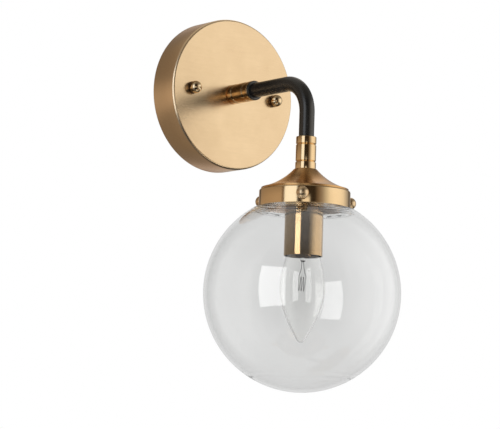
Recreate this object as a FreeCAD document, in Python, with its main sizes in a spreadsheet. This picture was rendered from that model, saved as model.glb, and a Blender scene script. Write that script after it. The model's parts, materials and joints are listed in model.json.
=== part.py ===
import FreeCAD, Part
import math, os, sys
import Sketcher
from FreeCAD import Vector as V

# Globe wall sconce.  Millimetres, +Z up.  The wall plane is y = 0 and the
# sconce stands out towards -Y.  The origin is the centre of the backplate's
# rear rim, which is also the centre of the wall mounting plate.

doc = FreeCAD.newDocument("GlobeWallSconce")
sheet = doc.addObject("Spreadsheet::Sheet", "params")
row = [0]


class Q:
    """A size: its number, and the sheet expression it comes from."""
    def __init__(self, v, e):
        self.v = float(v)
        self.e = e

    def _q(o):
        return o if isinstance(o, Q) else Q(o, repr(float(o)))

    def __add__(a, b):
        b = Q._q(b); return Q(a.v + b.v, "(%s + %s)" % (a.e, b.e))
    __radd__ = __add__

    def __sub__(a, b):
        b = Q._q(b); return Q(a.v - b.v, "(%s - %s)" % (a.e, b.e))

    def __rsub__(a, b):
        b = Q._q(b); return Q(b.v - a.v, "(%s - %s)" % (b.e, a.e))

    def __mul__(a, b):
        b = Q._q(b); return Q(a.v * b.v, "(%s * %s)" % (a.e, b.e))
    __rmul__ = __mul__

    def __truediv__(a, b):
        b = Q._q(b); return Q(a.v / b.v, "(%s / %s)" % (a.e, b.e))

    def __neg__(a):
        return Q(-a.v, "(0 - %s)" % a.e)


def q(x):
    return x if isinstance(x, Q) else Q(x, repr(float(x)))


def cell(alias, value, note):
    row[0] += 1
    sheet.set("A%d" % row[0], note)
    sheet.set("B%d" % row[0], "%g" % value)
    sheet.setAlias("B%d" % row[0], alias)
    return Q(value, "params.%s" % alias)


# ---------------------------------------------------------------- sizes
plate_r = cell("plate_r", 60.0, "backplate outer radius")
plate_d = cell("plate_depth", 26.0, "backplate depth off the wall")
plate_t = cell("plate_wall", 1.0, "backplate sheet thickness")
plate_e = cell("plate_edge", 1.6, "backplate front edge radius")
bar_r = cell("bar_r", 50.0, "mounting plate radius")
bar_t = cell("bar_thick", 2.0, "mounting plate thickness")
bar_hole = cell("bar_hole", 19.0, "mounting plate centre hole radius")
slot_c = cell("slot_centre", 39.75, "box screw slot centre from middle")
slot_w = cell("slot_half_width", 2.5, "box screw slot half width")
slot_l = cell("slot_length", 14.5, "box screw slot end to end")
stud_x = cell("stud_x", 40.7, "stud distance from middle")
stud_r = cell("stud_r", 2.0, "stud radius")
stud_l = cell("stud_length", 30.5, "stud length from the wall")
nut_r = cell("capnut_r", 4.9, "cap nut ball and base radius")
nut_c = cell("capnut_centre", 3.5, "cap nut ball centre off the face")
nut_b = cell("capnut_base", 0.8, "cap nut base length")
nip_r = cell("nipple_r", 4.88, "hollow nipple outer radius")
nip_b = cell("nipple_bore", 3.3, "hollow nipple bore radius")
cpl_r = cell("coupling_r", 7.75, "coupling radius")
cpl_u = cell("coupling_upper_len", 25.2, "coupling at the backplate, length")
cpl_l = cell("coupling_lower_len", 25.0, "coupling over the lamp, length")
vg = cell("groove_depth", 0.85, "coupling groove depth")
vw = cell("groove_half_width", 0.65, "coupling groove half width")
col_t = cell("collar_thick", 2.3, "collar thickness")
col_r = cell("collar_r", 7.7, "collar radius")
tube_r = cell("tube_r", 5.85, "arm tube outer radius")
tube_b = cell("tube_bore", 4.75, "arm tube bore radius")
tube_in = cell("tube_insert", 8.0, "arm tube depth in each coupling")
reach = cell("reach", 117.2, "lamp axis from the wall")
bend = cell("bend_r", 25.0, "arm centreline bend radius")
cz1 = cell("coupling_top", 43.9, "lower coupling top below the arm")
cz2 = cz1 + cpl_l                      # lower coupling bottom
ring_r = cell("ring_r", 34.7, "gallery ring outer radius")
ring_t = cell("ring_wall", 1.0, "gallery ring wall")
ring_z = cell("ring_top", 85.2, "gallery ring top below the arm")
ring_h = cell("ring_height", 13.1, "gallery ring height")
bell_t = cell("bell_wall", 1.0, "bell cap wall")
bell_r1 = cell("bell_r_top", 8.8, "bell cap radius at its top")
bell_r2 = cell("bell_r_foot", 33.2, "bell cap radius at its foot")
bell_R = cell("bell_flare", 50.0, "bell cap flare radius")
cov_r = cell("cover_r", 14.7, "socket cover outer radius")
cov_t = cell("cover_wall", 0.7, "socket cover wall")
cov_z = cell("cover_bottom", 135.2, "socket cover mouth below the arm")
glo_r = cell("globe_r", 74.7, "glass globe outer radius")
glo_t = cell("globe_wall", 2.0, "glass wall")
glo_z = cell("globe_centre", 163.5, "glass globe centre below the arm")
nek_r = cell("neck_r", 31.0, "glass neck outer radius")
nek_z = cell("neck_top", 88.0, "glass neck top below the arm")
nek_f = cell("neck_fillet", 2.0, "glass neck root fillet")
sho_r = cell("shoulder_r", 8.0, "rounding between the glass ball and its flat shoulder")
scr_z = cell("screw_level", 91.75, "thumbscrew level below the arm")
scr_a = cell("screw_angle", -42.4, "front thumbscrew turn from straight out")
scr_s = cell("screw_shank", 1.5, "thumbscrew shank radius")
scr_tip = cell("screw_tip", 31.3, "thumbscrew tip from the lamp axis")
scr_b = cell("screw_ball", 4.7, "thumbscrew ball radius")
scr_c = cell("screw_ball_centre", 39.2, "thumbscrew ball centre from the lamp axis")
scr_h = cell("screw_hole", 1.55, "threaded hole in the ring, radius")
wire_r = cell("wire_r", 0.9, "wire radius over the insulation")
wire_x = cell("wire_x", 1.25, "wire offset from the arm centreline")
hold_r = cell("holder_r", 10.7, "lamp holder body radius")
hold_1 = cell("holder_top", 99.0, "lamp holder top below the arm")
hold_2 = cell("holder_bottom", 122.6, "lamp holder bottom below the arm")
shl_b = cell("shell_bore", 7.15, "screw shell bore radius")
cap_r = cell("bulb_cap_r", 6.95, "bulb cap radius")
hexf = cell("hex_flats", 14.0, "locknut across flats")
nut_t = cell("hex_thick", 4.0, "locknut thickness")
wsh_t = cell("washer_thick", 0.8, "lock washer thickness")
doc.recompute()

PARTS = []                             # objects written out, in order


# ------------------------------------------------------------- helpers
def plane(body, role):
    for f in body.Origin.OriginFeatures:
        if getattr(f, "Role", "") == role:
            return f
    raise RuntimeError("no plane " + role)


def new_body(label):
    b = doc.addObject("PartDesign::Body", label)
    b.Label = label
    return b


def new_sketch(body, name, role, offset=None):
    sk = body.newObject("Sketcher::SketchObject", name)
    sk.AttachmentSupport = [(plane(body, role), "")]
    sk.MapMode = "FlatFace"
    if offset is not None:
        sk.setExpression(".AttachmentOffset.Base.z", offset.e)
    return sk


def bind(sk, con, val):
    i = sk.addConstraint(con)
    sk.setExpression("Constraints[%d]" % i, val.e)


def contour(sk, segs, closed=True):
    """segs: first item is the start (x, y); each next item is (x, y) for a
    line or (x, y, radius, side) for an arc, side +1 with the centre to the
    left of the way along.  The last item returns to the start."""
    pts = [(q(s[0]), q(s[1])) for s in segs]
    n = len(segs)
    last = n if closed else n - 1
    ids = []
    for i in range(last):
        a = pts[i]
        k = (i + 1) % n
        b = pts[k]
        s = segs[k]
        A = V(a[0].v, a[1].v, 0)
        B = V(b[0].v, b[1].v, 0)
        if len(s) == 4:
            r = q(s[2])
            side = s[3]
            ch = B - A
            m = (A + B) * 0.5
            nrm = V(-ch.y, ch.x, 0)
            nrm.normalize()
            hh = math.sqrt(max(r.v ** 2 - (ch.Length / 2) ** 2, 0))
            c = m + nrm * (hh * side)
            a0 = math.atan2(A.y - c.y, A.x - c.x)
            a1 = math.atan2(B.y - c.y, B.x - c.x)
            circ = Part.Circle(c, V(0, 0, 1), r.v)
            if side > 0:
                g = sk.addGeometry(Part.ArcOfCircle(circ, a0, a1), False)
                ids.append((g, 1, 2, a, r))
            else:
                g = sk.addGeometry(Part.ArcOfCircle(circ, a1, a0), False)
                ids.append((g, 2, 1, a, r))
        else:
            g = sk.addGeometry(Part.LineSegment(A, B), False)
            ids.append((g, 1, 2, a, None))
    for j in range(len(ids)):
        if j + 1 < len(ids) or closed:
            g, s_, e_, a, r = ids[j]
            g2, s2, e2, a2, r2 = ids[(j + 1) % len(ids)]
            sk.addConstraint(Sketcher.Constraint("Coincident", g, e_, g2, s2))
    for g, s_, e_, a, r in ids:
        bind(sk, Sketcher.Constraint("DistanceX", g, s_, a[0].v), a[0])
        bind(sk, Sketcher.Constraint("DistanceY", g, s_, a[1].v), a[1])
        if r is not None:
            bind(sk, Sketcher.Constraint("Radius", g, r.v), r)
    if not closed:
        g, s_, e_, a, r = ids[-1]
        b = pts[-1]
        bind(sk, Sketcher.Constraint("DistanceX", g, e_, b[0].v), b[0])
        bind(sk, Sketcher.Constraint("DistanceY", g, e_, b[1].v), b[1])
    return ids


def circle(sk, x, y, r):
    x, y, r = q(x), q(y), q(r)
    g = sk.addGeometry(Part.Circle(V(x.v, y.v, 0), V(0, 0, 1), r.v), False)
    bind(sk, Sketcher.Constraint("DistanceX", g, 3, x.v), x)
    bind(sk, Sketcher.Constraint("DistanceY", g, 3, y.v), y)
    bind(sk, Sketcher.Constraint("Radius", g, r.v), r)
    return g


def revolve(body, sk):
    f = body.newObject("PartDesign::Revolution", sk.Name + "_turn")
    f.Profile = sk
    f.ReferenceAxis = (sk, ["V_Axis"])
    f.Angle = 360.0
    return f


def pad(body, sk, length, rev=False):
    f = body.newObject("PartDesign::Pad", sk.Name + "_pad")
    f.Profile = sk
    f.Length = q(length).v
    f.setExpression("Length", q(length).e)
    f.Reversed = rev
    return f


def pocket(body, sk, length, rev=False):
    f = body.newObject("PartDesign::Pocket", sk.Name + "_cut")
    f.Profile = sk
    f.Length = q(length).v
    f.setExpression("Length", q(length).e)
    f.Reversed = rev
    return f


def turned(label, segs, role="XZ_Plane", at_lamp=True):
    """A piece turned about its own axis: on the lamp axis (profile in X, Z,
    turned about Z) or on the arm axis (profile in X, Y, turned about Y)."""
    b = new_body(label)
    sk = new_sketch(b, label + "_profile", role)
    contour(sk, segs)
    revolve(b, sk)
    if at_lamp:
        b.setExpression(".Placement.Base.y", (-reach).e)
    PARTS.append(b)
    return b


def check_cut(feature, before, what):
    doc.recompute()
    after = feature.Shape.Volume
    if not after < before - 1e-6:
        raise RuntimeError("no material came off: " + what)


def cylinder(name, x, y, z, r, h, direction):
    """A cylinder bound to the sheet; direction is 'x', 'y' or 'z', with a
    leading '-' for the other way."""
    c = doc.addObject("Part::Cylinder", name)
    c.setExpression("Radius", q(r).e)
    c.setExpression("Height", q(h).e)
    rot = {"z": FreeCAD.Rotation(V(0, 0, 1), 0),
           "-z": FreeCAD.Rotation(V(1, 0, 0), 180),
           "x": FreeCAD.Rotation(V(0, 1, 0), 90),
           "-x": FreeCAD.Rotation(V(0, 1, 0), -90),
           "y": FreeCAD.Rotation(V(1, 0, 0), -90),
           "-y": FreeCAD.Rotation(V(1, 0, 0), 90)}[direction]
    c.Placement = FreeCAD.Placement(V(q(x).v, q(y).v, q(z).v), rot)
    c.setExpression(".Placement.Base.x", q(x).e)
    c.setExpression(".Placement.Base.y", q(y).e)
    c.setExpression(".Placement.Base.z", q(z).e)
    return c


def group(label, objs):
    g = doc.addObject("Part::Compound", label)
    g.Label = label
    g.Links = objs
    PARTS.append(g)
    return g


def slot(sk, zc, half_len, w):
    """An upright round-ended slot centred at (0, zc)."""
    h = half_len - w
    contour(sk, [(w, zc - h, w, 1), (w, zc + h), (0, zc + half_len, w, 1),
                 (-w, zc + h, w, 1), (-w, zc - h), (0, zc - half_len, w, 1)])


# ---------------------------------------------------- wall mounting plate
b = new_body("mounting_plate")
sk = new_sketch(b, "mounting_plate_face", "XZ_Plane")
circle(sk, 0, 0, bar_r)
circle(sk, 0, 0, bar_hole)
for s in (1, -1):
    circle(sk, stud_x * s, 0, stud_r)
    slot(sk, slot_c * s, slot_l / 2, slot_w)
circle(sk, 27.0, 15.0, 1.75)           # tapped hole of the ground screw
pad(b, sk, bar_t)
PARTS.append(b)

group("mounting_studs", [
    cylinder("stud_a", stud_x, 0, 0, stud_r, stud_l, "-y"),
    cylinder("stud_b", -stud_x, 0, 0, stud_r, stud_l, "-y")])

# ground screw: washer head and shank
b = turned("ground_screw", [(0, -0.2), (1.72, -0.2), (1.72, -3.9), (3.4, -3.9),
                            (3.4, -4.6), (2.9, -4.8), (2.9, -6.2), (2.5, -6.6), (0, -6.6)],
           "XY_Plane", False)
b.Placement.Base = V(27.0, 0, 15.0)
sk = new_sketch(b, "ground_screw_drive", "XZ_Plane", q(6.6))
contour(sk, [(-2.6, -0.4), (2.6, -0.4), (2.6, 0.4), (-2.6, 0.4)])
doc.recompute()
v0 = b.Shape.Volume
check_cut(pocket(b, sk, 1.1, False), v0, "ground screw slot")

# --------------------------------------------------------------- backplate
e_in = plate_e - plate_t
b = turned("backplate", [
    (nip_r + 0.12, -plate_d), (plate_r - plate_e, -plate_d),
    (plate_r, -(plate_d - plate_e), plate_e, 1), (plate_r, 0),
    (plate_r - plate_t, 0), (plate_r - plate_t, -(plate_d - plate_e)),
    (plate_r - plate_e, -(plate_d - plate_t), e_in, -1),
    (nip_r + 0.12, -(plate_d - plate_t))], "XY_Plane", False)
sk = new_sketch(b, "backplate_stud_holes", "XZ_Plane")
for s in (1, -1):
    circle(sk, stud_x * s, 0, stud_r + 0.35)
doc.recompute()
v0 = b.Shape.Volume
f = pocket(b, sk, plate_d + 1, True)
doc.recompute()
if not f.Shape.Volume < v0 - 1e-6:
    f.Reversed = False
    check_cut(f, v0, "stud holes")

# ---------------------------------------------------------------- cap nuts
for label, s in (("cap_nut_left", -1), ("cap_nut_right", 1)):
    g0 = nut_b                           # end of the base, start of the waist
    wr = nut_r - 0.6                     # waist radius
    # ball meets the waist where the ball's radius equals the waist radius
    bite = math.sqrt(nut_r.v ** 2 - wr.v ** 2)
    bore = stud_r + 0.05
    b = turned(label, [
        (bore, -0.05), (nut_r - 0.3, -0.05), (nut_r, -0.35), (nut_r, -(g0 - 0.3)),
        (nut_r - 0.3, -g0), (wr, -g0), (wr, -(nut_c - bite)),
        (nut_r, -nut_c, nut_r, -1), (0, -(nut_c + nut_r), nut_r, -1),
        (0, -(nut_c + 2.3)), (bore, -(nut_c + 1.1))], "XY_Plane", False)
    b.setExpression(".Placement.Base.x", (stud_x * s).e)
    b.setExpression(".Placement.Base.y", (-plate_d).e)

# ------------------------------------------------------- arm at the canopy
y0 = -plate_d
turned("arm_nipple", [
    (nip_b, -17.5), (nip_r - 0.4, -17.5), (nip_r, -17.9), (nip_r, y0 - 11.6),
    (nip_r - 0.4, y0 - 12.0), (nip_b, y0 - 12.0)], "XY_Plane", False)


def washer(label, role, at_lamp, base, sign, turn):
    """A split ring washer with its gap."""
    r1, r2 = nip_r + 0.12, q(8.3)
    b = turned(label, [(r1, base), (r2, base), (r2, base + wsh_t * sign), (r1, base + wsh_t * sign)],
               role, at_lamp)
    return b


washer("arm_washer", "XY_Plane", False, -(plate_d - plate_t), 1, 0)
washer("holder_washer", "XZ_Plane", True, -(ring_z + 1.2 + 1.0), -1, 0)


def hex_nut(label, role, at_lamp, offset):
    b = new_body(label)
    sk = new_sketch(b, label + "_hex", role, offset)
    rr = hexf / math.sqrt(3.0)
    c6 = [(rr * math.cos(math.radians(60 * i)), rr * math.sin(math.radians(60 * i))) for i in range(6)]
    contour(sk, c6)
    circle(sk, 0, 0, nip_r + 0.02)
    pad(b, sk, nut_t)
    if at_lamp:
        b.setExpression(".Placement.Base.y", (-reach).e)
    PARTS.append(b)
    return b


# the pad grows towards -Y on the arm and is turned over to grow downwards
# under the lamp
arm_nut_y = plate_d - plate_t - wsh_t - nut_t
hex_nut("arm_locknut", "XZ_Plane", False, arm_nut_y)
hex_nut("holder_locknut", "XY_Plane", True, -(ring_z + 1.2 + 1.0 + wsh_t + nut_t))


def coupling(label, role, at_lamp, top, length, near, far, g1, g2, foot):
    """A grooved sleeve; top and length along -axis.  near/far are the bores
    of its two ends as (radius, depth), g1 and g2 the places of its grooves,
    foot the length of the narrower part it stands on, if any."""
    g1, g2 = q(g1), q(g2)
    r = cpl_r
    rb = cpl_r + 0.15 if at_lamp else cpl_r
    head = [(near[0], -top)]
    if foot:
        head += [(r - 1.1, -top), (r - 1.1, -(top + foot))]
    head += [(r - 0.35, -(top + foot)), (r, -(top + foot + 0.35))]
    segs = head + [
            (r, -(top + g1 - vw)), (r - vg, -(top + g1)), (r, -(top + g1 + vw)),
            (r, -(top + g2 - vw)), (r - vg, -(top + g2)), (rb, -(top + g2 + vw)),
            (rb, -(top + length - 0.35)), (rb - 0.35, -(top + length)), (far[0], -(top + length)),
            (far[0], -(top + length - far[1])), (tube_b, -(top + length - far[1])),
            (tube_b, -(top + near[1])), (near[0], -(top + near[1]))]
    return turned(label, segs, role, at_lamp)


coupling("upper_coupling", "XY_Plane", False, plate_d, cpl_u, (nip_r + 0.02, q(12.2)), (tube_r + 0.02, tube_in), 6.1, 19.3, 0.8)
coupling("lower_coupling", "XZ_Plane", True, cz1, cpl_l, (tube_r + 0.02, tube_in), (nip_r + 0.02, q(12.2)), 5.9, 19.1, 0)

cy = plate_d + cpl_u
turned("arm_collar", [
    (tube_r + 0.02, -cy), (col_r - 0.6, -cy), (col_r, -(cy + 0.6), 0.6, 1),
    (col_r, -(cy + col_t - 0.7)), (col_r - 0.7, -(cy + col_t), 0.7, 1),
    (tube_r + 0.02, -(cy + col_t))], "XY_Plane", False)

# ---------------------------------------------------------------- arm tube
b = new_body("arm_tube")
path = new_sketch(b, "arm_tube_path", "YZ_Plane")
contour(path, [(-(cy - tube_in + 0.1), 0), (-(reach - bend), 0), (-reach, -bend, bend, 1),
               (-reach, -(cz1 + tube_in - 0.1))], closed=False)
prof = new_sketch(b, "arm_tube_section", "XZ_Plane", cy - tube_in + 0.1)
circle(prof, 0, 0, tube_r)
circle(prof, 0, 0, tube_b)
doc.recompute()
pipe = b.newObject("PartDesign::AdditivePipe", "arm_tube_sweep")
pipe.Profile = prof
pipe.Spine = (path, [])
PARTS.append(b)

# -------------------------------------------------- lower nipple and stack
turned("lower_nipple", [
    (nip_b, -(cz2 - 12.0)), (nip_r - 0.4, -(cz2 - 12.0)), (nip_r, -(cz2 - 11.6)),
    (nip_r, -93.0), (nip_r - 0.4, -93.4), (nip_b, -93.4)])

hole = nip_r + 0.07
foot = ring_z - 0.0
bell = turned("bell_cap", [
    (hole, -cz2), (bell_r1, -cz2), (bell_r2, -(ring_z - 1.4), bell_R, 1),
    (bell_r2, -ring_z), (bell_r2 - bell_t, -ring_z), (bell_r2 - bell_t, -(ring_z - 0.75)),
    (bell_r1 - 0.75, -(cz2 + bell_t), bell_R + 0.6, -1), (hole, -(cz2 + bell_t))])

b = turned("gallery_ring", [
    (hole, -ring_z), (ring_r - 1.3, -ring_z), (ring_r, -(ring_z + 1.3), 1.3, -1),
    (ring_r, -(ring_z + ring_h - 0.25)), (ring_r - 0.25, -(ring_z + ring_h)),
    (ring_r - ring_t, -(ring_z + ring_h)), (ring_r - ring_t, -(ring_z + 1.7)),
    (ring_r - ring_t - 0.5, -(ring_z + 1.2), 0.5, 1), (hole, -(ring_z + 1.2))])
sk = new_sketch(b, "gallery_ring_screw_hole", "XZ_Plane")
circle(sk, 0, -scr_z, scr_h)
doc.recompute()
v0 = b.Shape.Volume
f = pocket(b, sk, ring_r + 3, True)     # towards -Y, the ring's front
check_cut(f, v0, "thumbscrew hole")
pat = b.newObject("PartDesign::PolarPattern", "gallery_ring_screw_holes")
pat.Originals = [f]
pat.Axis = (plane(b, "Z_Axis"), [""])
pat.Angle = 360
pat.Occurrences = 3
b.Tip = pat
b.Placement = FreeCAD.Placement(V(0, -reach.v, 0), FreeCAD.Rotation(V(0, 0, 1), scr_a.v))
b.setExpression(".Placement.Base.y", (-reach).e)
b.setExpression(".Placement.Rotation.Angle", scr_a.e)
RING = b

c0 = ring_z + 1.2
turned("socket_cover", [
    (hole, -c0), (cov_r - 1.2, -c0), (cov_r, -(c0 + 1.2), 1.2, -1), (cov_r, -(cov_z - 0.2)),
    (cov_r - 0.2, -cov_z), (cov_r - cov_t, -cov_z), (cov_r - cov_t, -(c0 + 1.4)),
    (cov_r - cov_t - 0.4, -(c0 + 1.0), 0.4, 1), (hole, -(c0 + 1.0))])

# ------------------------------------------------------------ thumbscrews
d_ball = scr_c
flat = ring_r + 0.3
bt = scr_b
cut = math.sqrt(bt.v ** 2 - (scr_c.v - flat.v) ** 2)
for label, turn in (("thumbscrew_front", 0.0), ("thumbscrew_left", -120.0), ("thumbscrew_right", 120.0)):
    b = turned(label, [
        (0, -scr_tip), (scr_s - 0.4, -scr_tip), (scr_s, -(scr_tip + 0.4)), (scr_s, -flat),
        (cut, -flat), (bt, -scr_c, bt, -1), (0, -(scr_c + bt), bt, -1)], "XY_Plane", False)
    ang = scr_a + turn
    b.Placement = FreeCAD.Placement(V(0, -reach.v, -scr_z.v), FreeCAD.Rotation(V(0, 0, 1), ang.v))
    b.setExpression(".Placement.Base.y", (-reach).e)
    b.setExpression(".Placement.Base.z", (-scr_z).e)

# ------------------------------------------------------------ glass globe
# ball, rounded into a flat shoulder, and a straight neck with a hollow curve
# at its root
sa, ca = math.sin(math.radians(32.0)), math.cos(math.radians(32.0))
sho_x = (glo_r - sho_r) * sa            # centre of the shoulder's rounding
sho_z = glo_z - (glo_r - sho_r) * ca
top = sho_z - sho_r                     # level of the flat shoulder
gi = glo_r - glo_t
turned("glass_globe", [
    (nek_r - glo_t, -(nek_z + 0.9)), (nek_r - glo_t + 0.9, -nek_z, 0.9, -1), (nek_r - 0.9, -nek_z),
    (nek_r, -(nek_z + 0.9), 0.9, -1),
    (nek_r, -(top - nek_f)), (nek_r + nek_f, -top, nek_f, 1), (sho_x, -top),
    (glo_r * sa, -(glo_z - glo_r * ca), sho_r, -1),
    (glo_r, -glo_z, glo_r, -1), (0, -(glo_z + glo_r), glo_r, -1),
    (0, -(glo_z + gi)), (gi, -glo_z, gi, 1),
    (gi * sa, -(glo_z - gi * ca), gi, 1), (sho_x, -(top + glo_t), sho_r - glo_t, 1),
    (nek_r + nek_f, -(top + glo_t)), (nek_r - glo_t, -(top - nek_f), nek_f + glo_t, -1)])

# ------------------------------------------------------------ lamp holder
st_in = q(10.9)
st_t = q(0.8)
st_w = q(6.6)                          # strap half width
b = new_body("holder_strap")
sk = new_sketch(b, "holder_strap_side", "XZ_Plane", -st_w)
zt = -(ring_z + 1.2 + 1.0 + wsh_t + nut_t)
contour(sk, [(-(st_in + st_t), -109.0), (-st_in, -109.0), (-st_in, zt - st_t), (st_in, zt - st_t),
             (st_in, -109.0), (st_in + st_t, -109.0), (st_in + st_t, zt), (-(st_in + st_t), zt)])
pad(b, sk, st_w * 2)
sk = new_sketch(b, "holder_strap_hole", "XY_Plane", zt + 0.5)
circle(sk, 0, 0, nip_r + 0.02)
doc.recompute()
v0 = b.Shape.Volume
f = pocket(b, sk, 3.0, False)
check_cut(f, v0, "strap hole")
sk = new_sketch(b, "holder_strap_screw_holes", "YZ_Plane", q(-14.0))
circle(sk, 0, -105.0, 1.25)
doc.recompute()
v0 = b.Shape.Volume
f = pocket(b, sk, 28.0, True)
doc.recompute()
if not f.Shape.Volume < v0 - 1e-6:
    f.Reversed = False
    check_cut(f, v0, "strap screw holes")
b.setExpression(".Placement.Base.y", (-reach).e)
PARTS.append(b)

b = turned("lamp_holder", [
    (0, -hold_1), (hold_r - 0.8, -hold_1), (hold_r, -(hold_1 + 0.8)), (hold_r, -(hold_2 - 0.6)),
    (hold_r - 0.6, -hold_2), (shl_b + 0.42, -hold_2), (shl_b + 0.42, -102.6), (0, -102.6)])
sk = new_sketch(b, "lamp_holder_wire_holes", "XY_Plane", -hold_1)
circle(sk, 4.6, 0, 1.1)
circle(sk, -4.6, 0, 1.1)
doc.recompute()
v0 = b.Shape.Volume
f = pocket(b, sk, 2.6, False)
doc.recompute()
if not f.Shape.Volume < v0 - 1e-6:
    f.Reversed = True
    check_cut(f, v0, "wire holes")
sk = new_sketch(b, "lamp_holder_screw_holes", "YZ_Plane", q(-14.0))
circle(sk, 0, -105.0, 1.22)
doc.recompute()
v0 = b.Shape.Volume
f = pocket(b, sk, 28.0, True)
doc.recompute()
if not f.Shape.Volume < v0 - 1e-6:
    f.Reversed = False
    check_cut(f, v0, "holder screw holes")

scr = []
for s, nm in ((1, "a"), (-1, "b")):
    d = "-x" if s > 0 else "x"
    scr.append((cylinder("strap_screw_%s_shank" % nm, (st_in + st_t) * s, -reach, -105.0, 1.2, 4.0, d),
                cylinder("strap_screw_%s_head" % nm, (st_in + st_t) * s, -reach, -105.0, 2.0, 0.8, "x" if s > 0 else "-x")))
fused = []
for k, (c1, c2) in enumerate(scr):
    fz = doc.addObject("Part::MultiFuse", "strap_screw_%d" % k)
    fz.Shapes = [c1, c2]
    fused.append(fz)
group("strap_screws", fused)

turned("screw_shell", [
    (shl_b, -121.9), (shl_b + 0.38, -121.9), (shl_b + 0.38, -103.6), (shl_b - 1.6, -103.6),
    (shl_b - 1.6, -104.0), (shl_b, -104.0)])

# centre contact: a flat base strip and a sprung tongue that meets the bulb
b = new_body("centre_contact")
sk = new_sketch(b, "centre_contact_side", "XZ_Plane", q(-1.75))
contour(sk, [(-4.6, -102.65), (3.9, -102.65), (3.9, -103.05), (-3.6, -103.05), (-2.4, -103.35),
             (0.9, -104.15), (2.3, -103.95), (2.3, -104.3), (0.8, -104.5), (-2.9, -103.6), (-4.6, -103.1)])
pad(b, sk, 3.5)
b.setExpression(".Placement.Base.y", (-reach).e)
PARTS.append(b)

# -------------------------------------------------------------------- bulb
bz = q(0.0)
turned("bulb_contact", [(0, -105.0), (1.6, -105.0), (2.6, -105.6), (2.6, -106.2), (0, -106.2)])
turned("cap_insulator", [(0, -106.2), (3.4, -106.2), (5.6, -108.6), (5.6, -109.2), (0, -109.2)])
turned("bulb_cap", [
    (5.6, -108.9), (5.75, -108.6), (cap_r - 0.5, -110.2), (cap_r, -111.0), (cap_r, -121.7),
    (6.55, -122.5), (6.2, -122.5), (6.2, -111.3), (5.6, -110.0)])
# the envelope's own curve, blown glass, radius at each level
prof_o = [(5.9, -121.4), (6.15, -123.1), (7.3, -125.4), (9.2, -128.1), (11.2, -131.3), (12.9, -135.0),
          (14.3, -139.6), (15.7, -145.5), (16.7, -151.5), (17.1, -157.5), (17.0, -163.5), (16.0, -170.3),
          (13.9, -177.5), (10.9, -184.5), (8.0, -190.2), (5.1, -195.2)]
tip_r = 3.4                              # rounding of the tip, centred on the axis
tip_z = -200.7


def spun(points, wall):
    """A closed thin shell turned from a smooth curve that ends in a ball
    tip on the axis, and its inside at a constant wall."""
    a60, a30 = math.radians(60), math.radians(30)
    cz = tip_z + tip_r

    def on(r, a):
        return V(r * math.sin(a), 0, cz - r * math.cos(a))
    c = Part.BSplineCurve()
    pts = [V(x, 0, z) for x, z in points] + [on(tip_r, a60)]
    c.interpolate(Points=pts)
    n = 16
    inner = []
    for i in range(n):
        u = c.FirstParameter + (c.LastParameter - c.FirstParameter) * i / n
        t = c.tangent(u)[0]
        nrm = V(t.z, 0, -t.x)
        if nrm.x > 0:
            nrm = nrm * -1
        inner.append(c.value(u) + nrm * wall)
    ri = tip_r - wall
    inner.append(on(ri, a60))
    ci = Part.BSplineCurve()
    ci.interpolate(Points=inner)
    pe, qe = V(0, 0, tip_z), V(0, 0, tip_z + wall)
    edges = [c.toShape(), Part.Arc(pts[-1], on(tip_r, a30), pe).toShape(), Part.LineSegment(pe, qe).toShape(),
             Part.Arc(qe, on(ri, a30), inner[-1]).toShape(), ci.toShape(), Part.LineSegment(inner[0], pts[0]).toShape()]
    wire = Part.Wire(edges)
    if not wire.isClosed():
        raise RuntimeError("open outline of the lamp's envelope")
    return Part.Face(wire).revolve(V(0, 0, 0), V(0, 0, 1), 360)


def feature(label, shape, at_lamp=True):
    f = doc.addObject("Part::Feature", label)
    f.Label = label
    f.Shape = shape
    if at_lamp:
        f.Placement = FreeCAD.Placement(V(0, -sheet.get("reach"), 0), FreeCAD.Rotation())
    PARTS.append(f)
    return f


env = spun(prof_o, 0.7)
feature("bulb_envelope", env)
turned("bulb_stem", [
    (0, -121.8), (5.0, -121.8), (4.3, -123.6), (3.0, -127.0), (2.2, -131.5), (1.7, -136.6), (2.1, -138.0),
    (1.7, -139.4), (0, -139.8)])


def rod(points, r):
    """Round wire along straight runs, with round joints."""
    sh = None
    for i in range(len(points) - 1):
        a, b_ = points[i], points[i + 1]
        c = Part.makeCylinder(r, (b_ - a).Length, a, b_ - a)
        sh = c if sh is None else sh.fuse(c)
        if i:
            sh = sh.fuse(Part.makeSphere(r, a))
    return sh.removeSplitter()


leads = [rod([V(s * 0.9, 0, -139.82), V(s * 1.6, 0, -144.4), V(s * 3.6, 0, -150.4)], 0.22) for s in (1, -1)]
feature("bulb_leads", Part.makeCompound(leads))
fil_pts = []
nz = 6
for i in range(nz + 1):
    x = -3.6 + 7.2 * i / nz
    z = -150.7 if i % 2 == 0 else -161.6
    fil_pts.append(V(x, 1.2 * (1 if i % 2 else -0.0), z))
feature("filament", rod(fil_pts, 0.2))

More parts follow.
